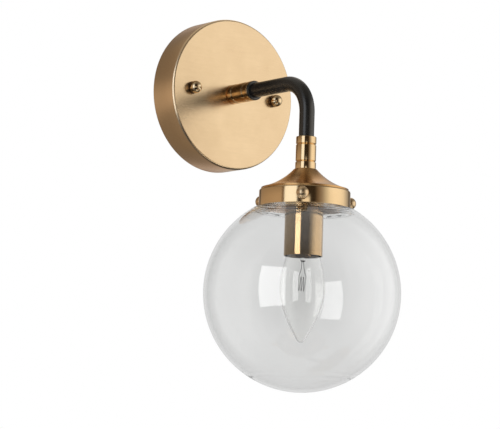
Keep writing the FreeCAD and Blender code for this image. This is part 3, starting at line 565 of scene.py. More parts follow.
# cap nuts: painted shade next to the plate
M_NUT = brass("nut_brass", (0.88, 0.66, 0.39), (0.60, 0.39, 0.18), 0.10, "y", 4000.0, 0.10, 0.20, 0.000006, nut=True)
M_BLACK = painted("black_lacquer", (0.008, 0.008, 0.008), 0.26, 0.8)
M_STEEL = steel("zinc_steel")
M_GLASS = glass("globe_glass", (0.966, 0.968, 0.964), 1.50, 0.0)
M_BULB_GLASS = glass("bulb_glass", (0.985, 0.985, 0.98), 1.46, 0.0)
M_PORC = plain("porcelain", (0.86, 0.84, 0.79), (0.80, 0.77, 0.71), 0.22, 60.0, 0.00002, 0.0, 0.4)
M_CONTACT = brass("contact_brass", (0.80, 0.60, 0.32), (0.50, 0.35, 0.16), 0.25, "z", 3000.0, 0.2, 0.4)
M_CAP = steel("bulb_cap_metal", (0.72, 0.69, 0.62), (0.50, 0.46, 0.40), 0.22)
M_BLACKGLASS = plain("black_glass", (0.012, 0.012, 0.014), (0.03, 0.03, 0.03), 0.08, 300.0, 0.00001, 0.0, 0.6)
M_SOLDER = steel("solder", (0.60, 0.60, 0.60), (0.35, 0.35, 0.36), 0.42)
M_TUNG = steel("tungsten", (0.20, 0.19, 0.19), (0.08, 0.08, 0.08), 0.35)
M_WIRE_K = plain("wire_black", (0.014, 0.014, 0.014), (0.03, 0.03, 0.03), 0.38, 90.0)
M_WIRE_W = plain("wire_white", (0.80, 0.80, 0.77), (0.70, 0.70, 0.66), 0.40, 90.0)
M_WIRE_G = plain("wire_green", (0.02, 0.20, 0.06), (0.03, 0.26, 0.08), 0.40, 90.0)
M_CONN = plain("connector_plastic", (0.78, 0.36, 0.05), (0.66, 0.29, 0.04), 0.42, 120.0)
M_GREEN = painted("green_finish", (0.03, 0.20, 0.07), 0.32, 0.5)

MATS = {
    "plate_brass": M_PLATE, "satin_brass": M_BRASS_Z, "black_metal": M_BLACK, "steel": M_STEEL,
    "ground_green": M_GREEN, "globe_glass": M_GLASS, "bulb_glass": M_BULB_GLASS, "bulb_metal": M_CAP,
    "black_glass": M_BLACKGLASS, "solder": M_SOLDER, "filament_wire": M_TUNG, "porcelain": M_PORC,
    "contact_brass": M_CONTACT, "wire_black": M_WIRE_K, "wire_white": M_WIRE_W, "wire_green": M_WIRE_G,
    "connector_plastic": M_CONN,
}
SLOT = {s["node"]: s["material_slot"] for s in frame["record"]["subparts"]}
for name, ob in NODES.items():
    ob.data.materials.clear()
    ob.data.materials.append(MATS[SLOT[name]])

UP = (0, 0, 1)
LAMP = (0, -REACH, 0)
OUT = (0, 1, 0)          # profiles on the arm axis use y as their axial place

# =====================================================================
# backplate: one spun pan with a rolled front edge
# =====================================================================
R, D, T_, E = 60.0, 26.0, 1.0, 1.6
lip, lr, ly, last = [], R, -D + 1.981, 0.0
for k in range(1, 19):
    a1 = math.radians(5.0 * k)
    rho = 4.0 if 20.0 < 5.0 * k <= 42.5 else 1.0
    lr -= rho * (math.cos(last) - math.cos(a1))
    ly -= rho * (math.sin(a1) - math.sin(last))
    last = a1
    lip.append((lr, max(ly, -D)))
lip = [(R, -D + 1.981)] + lip
# extra rings across the face keep the shading even
face = [(5.0 + (lip[-1][0] - 5.0) * i / 14, -D) for i in range(15)]
prof = face + lip[-2::-1] + rounded([(R, -D + 1.981), (R, 0, 0.35, 3), (R - T_, 0, 0.35, 3), (R - T_, -D + T_, E - T_, 8), (5.0, -D + T_)], False)[1:]
plate = lathe("backplate_shell", prof, OUT, (0, 0, 0), M_PLATE, 224, 40)
done(plate, "fixture", "plate_brass", "backplate")


# =====================================================================
# cap nuts: turned base, waist, ball
# =====================================================================
def cap_nut(name, x, body):
    r, c = 4.9, 3.5
    w = r - 0.6
    bite = math.degrees(math.acos(w / r))
    ball = arc(0, c, r, -bite, 90, 26)
    ball[-1] = (0.0, c + r)
    bore = [(2.05 + (0.0 if i % 2 else -0.04), c + 1.0 - i * 0.3) for i in range(15)]
    pr = rounded([(2.05, 0.05), (r, 0.05, 0.3, 3), (r, 0.8, 0.25, 4), (w, 0.8)]) + ball[0:] + [(0.0, c + 2.3), (2.05, c + 1.1)] + bore[1:]
    return lathe(name, pr, (0, -1, 0), (x, -PLATE_D, 0), M_NUT, 72, 32)


done(cap_nut("cap_nut_left_turned", -STUD_X, "cap_nut_left"), "cap_nut_left", "satin_brass", "cap_nut_left")
done(cap_nut("cap_nut_right_turned", STUD_X, "cap_nut_right"), "cap_nut_right", "satin_brass", "cap_nut_right")


# =====================================================================
# couplings, collar, arm
# =====================================================================
def coupling_profile(length, r, rb, near, far, g1, g2, foot):
    v, h = 0.85, 0.65
    head = [(near[0], 0)]
    if foot:
        head += [(r - 1.1, 0, 0.1, 2), (r - 1.1, foot, 0.15, 3)]
    return rounded(head + [(r, foot, 0.35, 4), (r, g1 - h, 0.18, 3), (r - v, g1, 0.12, 3), (r, g1 + h, 0.18, 3),
                    (r, g2 - h, 0.18, 3), (r - v, g2, 0.12, 3), (rb, g2 + h, 0.18, 3), (rb, length, 0.35, 4),
                    (far[0], length), (far[0], length - far[1]), (4.75, length - far[1]), (4.75, near[1]), (near[0], near[1])])


# the upper coupling wears the darker, painted-shade copy of the satin brass
uc = lathe("upper_coupling_turned", coupling_profile(25.2, 7.75, 7.75, (4.9, 12.2), (5.87, 8.0), 6.1, 19.3, 0.8), (0, -1, 0), (0, -PLATE_D, 0), M_BRASS_Y_SHADED, 112, 34)
done(uc, "fixture", "satin_brass", "upper_coupling")
lc = lathe("lower_coupling_turned", coupling_profile(25.0, 7.75, 7.9, (5.87, 8.0), (4.9, 12.2), 5.9, 19.1, 0), (0, 0, -1), (0, -REACH, -43.9), M_BRASS_Z, 112, 34)
done(lc, "fixture", "satin_brass", "lower_coupling")

col = lathe("arm_collar_turned", rounded([(5.87, 0), (7.7, 0, 0.6, 6), (7.7, 2.3, 0.7, 6), (5.87, 2.3)]), (0, -1, 0), (0, -51.2, 0), M_BLACK, 96, 32)
done(col, "fixture", "black_metal", "arm_collar")

BEND = 25.0
path = [(0, -43.3 - (REACH - BEND - 43.3) * i / 20.0, 0) for i in range(21)]
path += [(0, -(REACH - BEND) - BEND * math.sin(math.radians(a)), -BEND + BEND * math.cos(math.radians(a))) for a in np.linspace(90 / 40, 90, 40)]
path += [(0, -REACH, -BEND - (51.8 - BEND) * i / 10.0) for i in range(1, 11)]
v1, f1 = sweep_geo(path, 5.85, 72, caps=False)
v2, f2 = sweep_geo(path, 4.75, 72, caps=False)
nv, nl = len(v1), len(path)
faces = list(f1) + [tuple(i + nv for i in q)[::-1] for q in f2]
for base in (0, (nl - 1) * 72):
    for k in range(72):
        a, b = base + k, base + (k + 1) % 72
        faces.append((a, b, b + nv, a + nv))
tube = fix_normals(add_mesh("arm_tube_bent", list(v1) + list(v2), faces, M_BLACK, 40))
done(tube, "fixture", "black_metal", "arm_tube")

# =====================================================================
# bell cap, ring, socket cover
# =====================================================================
# flare: circle of 50 mm through the top and the foot
p0, p1 = Vector((8.8, -68.9)), Vector((33.2, -83.8))
mid = (p0 + p1) / 2
ch = p1 - p0
nrm = Vector((-ch.y, ch.x)).normalized()
FLARE = 50.0
cen = mid + nrm * math.sqrt(FLARE ** 2 - (ch.length / 2) ** 2)
a0 = math.degrees(math.atan2(p0.y - cen.y, p0.x - cen.x))
a1 = math.degrees(math.atan2(p1.y - cen.y, p1.x - cen.x))
outer = arc(cen.x, cen.y, FLARE, a0, a1, 40)
inner = arc(cen.x, cen.y, FLARE + 0.95, a1, a0, 40)
inner = [(min(r, 32.2), z) for r, z in inner]
bell_prof = [(4.95, -68.9), (8.4, -68.9)] + outer + rounded([(33.2, -83.8), (33.2, -85.2, 0.2, 2), (32.2, -85.2, 0.2, 2), (32.2, -84.5)], False)[1:] + inner[1:] + [(4.95, -69.9)]
bell = lathe("bell_cap_spun", bell_prof, UP, LAMP, M_BELL, 160, 35)
done(bell, "fixture", "satin_brass", "bell_cap")

rt = -85.2
ring_prof = rounded([(4.95, rt), (34.7, rt, 1.3, 8), (34.7, rt - 13.1, 0.3, 3), (33.7, rt - 13.1, 0.2, 2), (33.7, rt - 1.2, 0.5, 4), (4.95, rt - 1.2)])
ring = lathe("gallery_ring_spun", ring_prof, UP, LAMP, M_RING, 192, 34)
done(ring, "fixture", "satin_brass", "gallery_ring")

c0 = rt - 1.2
cov_prof = rounded([(4.95, c0), (14.7, c0, 1.2, 6), (14.7, -135.2, 0.25, 3), (14.0, -135.2, 0.2, 2), (14.0, c0 - 1.0, 0.4, 3), (4.95, c0 - 1.0)])
cover = lathe("socket_cover_drawn", cov_prof, UP, LAMP, M_COVER, 144, 34)
done(cover, "fixture", "satin_brass", "socket_cover")


# =====================================================================
# thumbscrews
# =====================================================================
def thumbscrew(name, ang, body):
    a = math.radians(ang)
    d = (math.sin(a), -math.cos(a), 0)
    fl, c, r = 35.0, 39.2, 4.7
    ct = math.degrees(math.asin((c - fl) / r))
    ball = arc(0, c, r, -ct, 90, 28)
    ball[-1] = (0.0, c + r)
    # rolled thread on the shank, as fine rings
    th = []
    s = 31.9
    while s < 34.4:
        th += [(1.5, s), (1.5, s + 0.12), (1.3, s + 0.25), (1.3, s + 0.37)]
        s += 0.5
    pr = [(0.0, 31.3), (1.1, 31.3), (1.45, 31.7)] + th + [(1.5, 34.6), (1.5, fl)] + ball
    return lathe(name, pr, d, (0, -REACH, SCREW_Z), M_BALL, 64, 32)


for nm, ang in SCREWS:
    done(thumbscrew("thumbscrew_%s_turned" % nm, ang, nm), "thumbscrew_" + nm, "satin_brass", "thumbscrew_" + nm)

# =====================================================================
# glass globe
# =====================================================================
GR, GT, GZ, NR, NF, SR = 74.7, 2.0, -163.5, 31.0, 2.0, 8.0
SA = 32.0
sx = (GR - SR) * math.sin(math.radians(SA))
sz = GZ + (GR - SR) * math.cos(math.radians(SA))
top = sz + SR


def shell_side(off, n):
    """Neck, its root, flat shoulder, rounding and ball, rim to bottom; off
    is how far inside the outer surface."""
    neck = NR - off
    lev = top - off
    pts = [(neck, -88.9 + (lev_end(off) + 88.9) * i / 5.0) for i in range(6)]
    pts += [(NR + NF - (NF + off) * math.cos(math.radians(a)), top + NF - (NF + off) * math.sin(math.radians(a))) for a in np.linspace(90 / 8, 90, 8)]
    pts += [(sx - 0.6, lev), (sx, lev)]
    pts += [(sx + (SR - off) * math.sin(math.radians(a)), sz + (SR - off) * math.cos(math.radians(a))) for a in np.linspace(SA / 24, SA, 24)]
    ball = GR - off
    pts += [(ball * math.sin(math.radians(a)), GZ + ball * math.cos(math.radians(a))) for a in list(np.linspace(SA, SA + 12, 21)[1:]) + list(np.linspace(SA + 12, 180, n + 1)[1:])]
    pts[-1] = (0.0, GZ - ball)
    return pts


def lev_end(off):
    return top + NF


so = shell_side(0.0, 96)
si = shell_side(GT, 96)
lip = arc(NR - 0.9, -88.9, 0.9, 90, 0, 5)[:-1]
lip_in = arc(NR - GT + 0.9, -88.9, 0.9, 180, 90, 5)[1:]
glass_prof = lip + so + si[::-1] + lip_in
outer = {(round(r, 5), round(a, 5)) for r, a in so}


def draw_marks(r, a, t):
    """Faint rings that the blowing leaves on the outside of the shoulder."""
    if (round(r, 5), round(a, 5)) in outer and 35.6 < r < 49.0:
        w = min(1.0, (r - 35.6) / 1.4) * min(1.0, (49.0 - r) / 8.0)
        ph = 2 * math.pi * (r - 35.6) / 2.3 + 0.9 * math.sin(2 * t + 0.7) + 0.5 * math.sin(5 * t + 2.0)
        a += 0.11 * w * math.sin(ph) * (1 + 0.3 * math.sin(3 * t + 1.0))
    return r, a


globe = lathe("glass_globe_blown", glass_prof, UP, LAMP, M_GLASS, 192, 60, dents=draw_marks)
done(globe, "globe", "globe_glass", "glass_globe")

# =====================================================================
# bulb
# =====================================================================
from mathutils.geometry import interpolate_bezier
prof_o = [(5.9, -121.4), (6.15, -123.1), (7.3, -125.4), (9.2, -128.1), (11.2, -131.3), (12.9, -135.0),
          (14.3, -139.6), (15.7, -145.5), (16.7, -151.5), (17.1, -157.5), (17.0, -163.5), (16.0, -170.3),
          (13.9, -177.5), (10.9, -184.5), (8.0, -190.2), (5.1, -195.2), (2.944, -199.0), (1.7, -200.244), (0.0, -200.7)]


def smooth_profile(pts, per=6):
    """Catmull-Rom through the points, centripetal enough for these."""
    P = [Vector(p) for p in pts]
    P = [P[0] + Vector((0, 1.5))] + P + [Vector((-P[-2].x, P[-2].y))]
    out = []
    for i in range(1, len(P) - 2):
        a, b, c, d = P[i - 1], P[i], P[i + 1], P[i + 2]
        for k in range(per):
            t = k / per
            v = 0.5 * ((2 * b) + (c - a) * t + (2 * a - 5 * b + 4 * c - d) * t * t + (3 * b - a - 3 * c + d) * t ** 3)
            out.append((max(v.x, 0.0), v.y))
    out.append((0.0, pts[-1][1]))
    return out


eo = smooth_profile(prof_o)
ei = []
for i, (r, z) in enumerate(eo):
    a = Vector(eo[max(i - 1, 0)])
    b = Vector(eo[min(i + 1, len(eo) - 1)])
    t = (b - a).normalized()
    nn = Vector((t.y, -t.x))
    if nn.x > 0:
        nn = -nn
    if i == len(eo) - 1:
        nn = Vector((0, 1))
    q_ = Vector((r, z)) + nn * 0.7
    ei.append((max(q_.x, 0.0), q_.y))
ei = [p for i, p in enumerate(ei) if p[0] > 1e-4 or i == len(ei) - 1]
env = lathe("bulb_envelope_blown", eo + ei[::-1], UP, LAMP, M_BULB_GLASS, 112, 60)
done(env, "bulb", "bulb_glass", "bulb_envelope")

stem = lathe("bulb_stem_pressed", smooth_profile([(5.0, -121.8), (4.3, -123.6), (3.0, -127.0), (2.2, -131.5), (1.7, -136.6), (2.1, -138.0), (1.5, -139.4), (0.0, -139.8)], 4) + [(0.0, -121.8)], UP, LAMP, M_BULB_GLASS, 48, 60)
done(stem, "bulb", "bulb_glass", "bulb_stem")


def wire_run(points, r, segs=12, sub=6):
    """Drawn wire through points, bends softened."""
    P = [Vector(p) for p in points]
    out = []
    Q = [P[0] * 2 - P[1]] + P + [P[-1] * 2 - P[-2]]
    for i in range(1, len(Q) - 2):
        a, b, c, d = Q[i - 1], Q[i], Q[i + 1], Q[i + 2]
        for k in range(sub):
            t = k / sub
            out.append(0.5 * ((2 * b) + (c - a) * t + (2 * a - 5 * b + 4 * c - d) * t * t + (3 * b - a - 3 * c + d) * t ** 3))
    out.append(P[-1])
    return sweep_geo(out, r, segs)


def at(x, y, z):
    return (x, y - REACH, z)


leads = [wire_run([at(s * 0.9, 0, -139.82), at(s * 1.3, 0, -144.4), at(s * 2.6, 0, -148.4), at(s * 3.6, 0, -150.4)], 0.20) for s in (1, -1)]
lead_ob = joined("bulb_leads_drawn", leads, M_TUNG, 50)
done(lead_ob, "bulb", "filament_wire", "bulb_leads")
fp = []
for i in range(7):
    x = -3.6 + 7.2 * i / 6
    fp.append(at(x, 1.2 * (i % 2), -150.7 if i % 2 == 0 else -161.6))
fil = joined("filament_wound", [wire_run(fp, 0.18, 10, 8)], M_TUNG, 50)
done(fil, "bulb", "filament_wire", "filament")

# =====================================================================
# helpers for stamped, threaded and cut pieces
# =====================================================================
def stamped(name, outlines, thick, bevel, place, mat, smooth=35.0):
    """A sheet piece from closed outlines (the first is the edge, the rest are
    its openings) with softened edges; place turns the flat sheet, whose middle
    layer is z = 0, into position."""
    cu = bpy.data.curves.new(name + "_c", "CURVE")
    cu.dimensions = "2D"
    cu.fill_mode = "BOTH"
    cu.extrude = thick / 2 - bevel
    cu.bevel_depth = bevel
    cu.bevel_resolution = 2
    cu.offset = -bevel
    for o in outlines:
        sp = cu.splines.new("POLY")
        sp.points.add(len(o) - 1)
        for i, (x, y) in enumerate(o):
            sp.points[i].co = (x, y, 0, 1)
        sp.use_cyclic_u = True
    tmp = bpy.data.objects.new(name + "_c", cu)
    SC.collection.objects.link(tmp)
    dg = bpy.context.evaluated_depsgraph_get()
    me = bpy.data.meshes.new_from_object(tmp.evaluated_get(dg))
    bpy.data.objects.remove(tmp)
    bpy.data.curves.remove(cu)
    me.name = name
    me.transform(Matrix.Scale(MM, 4) @ place)
    bm = bmesh.new()
    bm.from_mesh(me)
    bmesh.ops.remove_doubles(bm, verts=bm.verts, dist=0.000002)
    bmesh.ops.recalc_face_normals(bm, faces=bm.faces)
    bm.to_mesh(me)
    bm.free()
    me.materials.clear()
    me.materials.append(mat)
    for p in me.polygons:
        p.use_smooth = True
    me.set_sharp_from_angle(angle=math.radians(smooth))
    ob = bpy.data.objects.new(name, me)
    SC.collection.objects.link(ob)
    return ob


def cut(ob, geos, smooth=35.0):
    """Takes closed shapes out of a piece."""
    for v, f in geos:
        tool = fix_normals(add_mesh(ob.name + "_tool", v, f, None))
        md = ob.modifiers.new("cut", "BOOLEAN")
        md.operation = "DIFFERENCE"
        md.solver = "EXACT"
        md.object = tool
        dg = bpy.context.evaluated_depsgraph_get()
        me = bpy.data.meshes.new_from_object(ob.evaluated_get(dg))
        ob.modifiers.clear()
        old = ob.data
        mats = [m for m in old.materials]
        ob.data = me
        me.materials.clear()
        for m in mats:
            me.materials.append(m)
        for p in me.polygons:
            p.material_index = 0
            p.use_smooth = True
        me.set_sharp_from_angle(angle=math.radians(smooth))
        bpy.data.meshes.remove(old)
        bpy.data.objects.remove(tool)
    return ob


def rod_geo(p, axis, r, length, segs=40):
    """A round bar from p along axis."""
    return lathe_geo([(0, 0), (r, 0), (r, length), (0, length)], axis, p, segs)


def block_geo(lo, hi, m=None):
    v = [Vector((x, y, z)) for x in (lo[0], hi[0]) for y in (lo[1], hi[1]) for z in (lo[2], hi[2])]
    if m is not None:
        v = [m @ p for p in v]
    return v, [(0, 1, 3, 2), (4, 6, 7, 5), (0, 4, 5, 1), (2, 3, 7, 6), (0, 2, 6, 4), (1, 5, 7, 3)]


def ring_pts(x, y, r, n=48):
    return [(x + r * math.cos(2 * math.pi * i / n), y + r * math.sin(2 * math.pi * i / n)) for i in range(n)]


def slot_pts(x, y, half, w, n=10):
    h = half - w
    top_ = [(x + w * math.cos(math.pi * i / n), y + h + w * math.sin(math.pi * i / n)) for i in range(n + 1)]
    low_ = [(x - w * math.cos(math.pi * i / n), y - h - w * math.sin(math.pi * i / n)) for i in range(n + 1)]
    return top_ + low_


def thread_rows(r, a0, a1, pitch, per=6):
    n = max(2, int(round(abs(a1 - a0) / pitch * per)))
    return [(r, a0 + (a1 - a0) * i / n) for i in range(n + 1)]


def thread_fn(r, depth, pitch, a0, a1, keep=None):
    """Helical V thread on the surface of radius r between a0 and a1."""
    lo, hi = min(a0, a1), max(a0, a1)

    def fn(rr, a, t):
        if abs(rr - r) > 1e-4 or a < lo - 1e-6 or a > hi + 1e-6:
            return rr, a
        ph = (a / pitch - t / (2 * math.pi)) % 1.0
        w = 1 - abs(2 * ph - 1)
        fade = min(1.0, (a - lo) / (pitch * 0.6), (hi - a) / (pitch * 0.6))
        return rr - depth * w * max(0.0, fade), a
    return fn


cut(plate, [rod_geo((s * STUD_X, -29.0, 0), (0, 1, 0), 2.35, 6.0, 32) for s in (1, -1)], 40)
tapped = []
for nm, ang in SCREWS:
    a = math.radians(ang)
    tapped.append(rod_geo((math.sin(a) * 31.0, -REACH - math.cos(a) * 31.0, SCREW_Z), (math.sin(a), -math.cos(a), 0), 1.55, 6.0, 24))
cut(ring, tapped, 34)


# =====================================================================
# wall mounting plate, studs, ground screw
# =====================================================================
to_wall = Matrix(((1, 0, 0, 0), (0, 0, -1, -1.0), (0, 1, 0, 0), (0, 0, 0, 1)))
outl = [ring_pts(0, 0, 50.0, 160), ring_pts(0, 0, 19.0, 96)]
for s in (1, -1):
    outl += [slot_pts(0, 39.75 * s, 7.25, 2.5), ring_pts(STUD_X * s, 0, 2.0, 40)]
outl.append(ring_pts(27.0, 15.0, 1.75, 36))
wall_plate = stamped("mounting_plate_stamped", outl, 2.0, 0.22, to_wall, M_STEEL)
done(wall_plate, "fixture", "steel", "mounting_plate")

studs = []
for s in (1, -1):
    rows_ = thread_rows(2.0, 0.7, 30.0, 0.7, 6)
    pr = [(0.0, 0.0), (1.55, 0.0), (1.95, 0.4)] + rows_ + [(1.6, 30.5), (0.0, 30.5)]
    studs.append(lathe_geo(pr, (0, -1, 0), (STUD_X * s, 0, 0), 28, True, thread_fn(2.0, 0.36, 0.7, 0.7, 30.0)))
done(joined("mounting_studs_rolled", studs, M_STEEL, 40), "fixture", "steel", "mounting_studs")

gs = rounded([(0, 0.25), (1.3, 0.25), (1.7, 0.7)], False) + thread_rows(1.7, 0.8, 3.7, 0.7, 6) + \
    rounded([(1.7, 3.9), (3.4, 3.9, 0.15, 3), (3.4, 4.6, 0.2, 3), (2.9, 4.8, 0.1, 2), (2.9, 6.2, 0.3, 4), (2.5, 6.6, 0.1, 2), (0, 6.6)], False)
gscrew = lathe("ground_screw_headed", gs, (0, -1, 0), (27.0, 0, 15.0), M_GREEN, 60, 35, True, thread_fn(1.7, 0.3, 0.7, 0.8, 3.7))
cut(gscrew, [block_geo((24.2, -6.9, 14.6), (29.8, -5.5, 15.4))])
done(gscrew, "fixture", "ground_green", "ground_screw")


# =====================================================================
# hollow nipples, washers, locknuts
# =====================================================================
def nipple(name, length, axis, origin, node):
    a0, a1 = 0.45, length - 0.45
    rows_ = thread_rows(4.86, a0, a1, 0.94, 6)
    pr = rounded([(3.3, 0, 0.2, 2), (4.45, 0)], False) + rows_ + rounded([(4.45, length), (3.3, length, 0.2, 2)], False)
    ob = lathe(name, pr, axis, origin, M_STEEL, 56, 40, True, thread_fn(4.86, 0.5, 0.94, a0, a1))
    done(ob, "fixture", "steel", node)


nipple("arm_nipple_threaded", 20.5, (0, -1, 0), (0, -17.5, 0), "arm_nipple")
nipple("lower_nipple_threaded", 36.5, (0, 0, -1), (0, -REACH, -56.9), "lower_nipple")


def lock_washer(name, axis, origin, node):
    """Split spring washer: a flat ring with a skewed gap."""
    sec = rounded([(5.05, 0.0, 0.12, 3), (8.25, 0.0, 0.12, 3), (8.25, 0.8, 0.12, 3), (5.05, 0.8, 0.12, 3)])
    m = frame_of(axis, origin)
    n, k = 90, len(sec)
    v, f = [], []
    for i in range(n + 1):
        for r, a in sec:
            t = math.radians(5 + 350.0 * i / n) + (a - 0.4) * 0.09
            v.append(m @ Vector((r * math.cos(t), r * math.sin(t), a)))
    for i in range(n):
        for j in range(k):
            j2 = (j + 1) % k
            f.append((i * k + j, i * k + j2, (i + 1) * k + j2, (i + 1) * k + j))
    f.append(tuple(range(k)))
    f.append(tuple(range(n * k, n * k + k))[::-1])
    done(fix_normals(add_mesh(name, v, f, M_STEEL, 34)), "fixture", "steel", node)


lock_washer("arm_washer_split", (0, 1, 0), (0, -25.0, 0), "arm_washer")
lock_washer("holder_washer_split", (0, 0, -1), (0, -REACH, -87.4), "holder_washer")


def locknut(name, axis, origin, node, phase):
    """Hexagon with its corners turned down on both faces."""
    half = 7.0
    lev = [(0.0, 6.75), (0.45, 7.55), (0.85, 8.2), (2.0, 9), (3.15, 8.2), (3.55, 7.55), (4.0, 6.75)]

    def fn(r, a, t):
        if r < 6.0:
            return r, a
        u = ((t + phase + math.pi / 6) % (math.pi / 3)) - math.pi / 6
        return min(half / math.cos(u), 8.0, r), a
    bore = [(4.95, 4.0 - 0.25)] + [(4.95 + (0.28 if i % 2 else 0.0), 3.6 - i * 0.235) for i in range(14)] + [(4.95, 0.25)]
    pr = [(5.35, 0.0)] + [(r, a) for a, r in lev] + [(5.35, 4.0)] + bore
    ob = lathe(name, pr, axis, origin, M_STEEL, 144, 26, True, fn)
    done(ob, "fixture", "steel", node)


locknut("arm_locknut_hex", (0, 1, 0), (0, -24.2, 0), "arm_locknut", math.pi / 6)
locknut("holder_locknut_hex", (0, 0, -1), (0, -REACH, -88.2), "holder_locknut", 0.0)

# =====================================================================
# strap, porcelain lamp holder, its screws and contacts
# =====================================================================
o_, i_ = 11.7, 10.9
side = rounded([(-o_, -92.2, 1.5, 6), (o_, -92.2, 1.5, 6), (o_, -109.0, 0.1, 2), (i_, -109.0, 0.1, 2),
                (i_, -93.0, 0.7, 5), (-i_, -93.0, 0.7, 5), (-i_, -109.0, 0.1, 2), (-o_, -109.0, 0.1, 2)])
to_side = Matrix(((1, 0, 0, 0), (0, 0, -1, -REACH), (0, 1, 0, 0), (0, 0, 0, 1)))
strap = stamped("holder_strap_bent", [side], 13.2, 0.10, to_side, M_STEEL, 34)
tip = []
for s in (1, -1):
    tip.append(rod_geo((s * 11.3 - 1.0, -REACH, -105.0), (1, 0, 0), 1.3, 2.0, 28))
cut(strap, tip + [rod_geo((0, -REACH, -93.7), (0, 0, 1), 4.95, 2.2, 48)])
done(strap, "fixture", "steel", "holder_strap")

hp = rounded([(0, -99.0), (10.7, -99.0, 1.4, 8), (10.7, -112.4, 0.4, 3), (10.25, -113.0, 0.3, 3), (10.25, -114.6, 0.3, 3), (10.7, -115.2, 0.4, 3),
              (10.7, -122.6, 1.0, 6), (7.6, -122.6, 0.5, 4), (7.6, -102.6, 0.4, 3), (0, -102.6)], False)
holder = lathe("lamp_holder_glazed", hp, UP, LAMP, M_PORC, 96, 34, False)
tools = [rod_geo((s * 4.6, -REACH, -103.4), (0, 0, 1), 1.1, 5.0, 28) for s in (1, -1)]
tools += [rod_geo((-12.0, -REACH, -105.0), (1, 0, 0), 1.22, 24.0, 28)]
cut(holder, tools)
done(holder, "fixture", "porcelain", "lamp_holder")

heads = []
for s in (1, -1):
    pr = rounded([(0, -4.0), (0.8, -4.0), (1.15, -3.6)], False) + thread_rows(1.15, -3.5, -0.3, 0.5, 6) + \
        rounded([(1.15, 0.0), (2.0, 0.0, 0.1, 2), (2.0, 0.45, 0.35, 5), (0, 0.8)], False)
    heads.append(lathe_geo(pr, (s, 0, 0), (11.7 * s, -REACH, -105.0), 40, True, thread_fn(1.15, 0.2, 0.5, -3.5, -0.3)))
sscrews = joined("strap_screws_slotted", heads, M_STEEL, 34)
cut(sscrews, [block_geo((s * 12.6 - 0.45, -REACH - 2.4, -105.25), (s * 12.6 + 0.45, -REACH + 2.4, -104.75)) for s in (1, -1)])
done(sscrews, "fixture", "steel", "strap_screws")

ROLL = 2.82


def rolled(depth, lo, hi, rmin, rmax):
    """A rolled thread moves both faces of a thin sheet together."""
    def fn(r, a, t):
        if r < rmin or r > rmax or a > hi or a < lo:
            return r, a
        ph = (a / ROLL + t / (2 * math.pi)) % 1.0
        w = 0.5 - 0.5 * math.cos(2 * math.pi * ph)
        fade = max(0.0, min(1.0, (a - lo) / 1.0, (hi - a) / 1.0))
        return r + depth * w * fade, a
    return fn


sh_out = [(7.38, -121.9 + 17.9 * i / 72) for i in range(73)]
sh_in = [(7.16, -121.6 + 17.3 * i / 72) for i in range(73)]
shell_p = sh_out + [(7.30, -103.6), (5.55, -103.6), (5.55, -104.0), (7.10, -104.0)] + sh_in[::-1] + [(7.2, -121.9)]
shell = lathe("screw_shell_rolled", shell_p, UP, LAMP, M_CONTACT, 72, 40, True, rolled(0.15, -120.9, -105.0, 7.12, 7.4))
done(shell, "fixture", "contact_brass", "screw_shell")

strip = [(-4.6, -102.65), (3.9, -102.65), (3.9, -103.05), (-3.4, -103.05), (-2.4, -103.35), (-0.7, -103.78), (0.9, -104.15, 0.6, 4),
         (2.3, -103.95), (2.3, -104.3), (0.8, -104.5, 0.6, 4), (-0.8, -104.13), (-2.9, -103.6), (-4.6, -103.1, 0.3, 4)]
tongue = stamped("centre_contact_sprung", [rounded(strip)], 3.5, 0.06, to_side, M_CONTACT, 34)
done(tongue, "fixture", "contact_brass", "centre_contact")


def lump(r, a, t):
    return r * (1 + 0.035 * math.sin(3 * t + 1.2) + 0.02 * math.sin(5 * t + 0.3) - 0.055), a


blob = lathe("bulb_contact_soldered", [(0, -105.0), (0.8, -105.05), (1.5, -105.2), (2.1, -105.5), (2.5, -105.85), (2.6, -106.2), (0, -106.2)], UP, LAMP, M_SOLDER, 48, 50, False, lump)
done(blob, "bulb", "solder", "bulb_contact")
insul = lathe("cap_insulator_pressed", rounded([(0, -106.2), (3.4, -106.2, 0.3, 4), (4.4, -107.4, 0.4, 3), (5.6, -108.6, 0.2, 3), (5.6, -109.2), (0, -109.2)], False), UP, LAMP, M_BLACKGLASS, 64, 34, False)
done(insul, "bulb", "black_glass", "cap_insulator")

cap_out = [(6.95, -111.0 - 10.6 * i / 60) for i in range(61)]
cap_in = [(6.65, -111.3 - 10.2 * i / 60) for i in range(61)]
cap_p = [(5.62, -108.9), (5.75, -108.6)] + rounded([(6.45, -110.2, 0.4, 4), (6.95, -111.0, 0.3, 3)], False)[:-1] + cap_out + \
    [(6.9, -122.0), (6.6, -122.45), (6.25, -122.5), (6.3, -122.0)] + cap_in[::-1] + [(6.2, -110.6), (5.62, -109.9)]
bcap = lathe("bulb_cap_rolled", cap_p, UP, LAMP, M_CAP, 72, 40, True, rolled(-0.62, -120.4, -111.6, 6.6, 6.97))
done(bcap, "bulb", "bulb_metal", "bulb_cap")


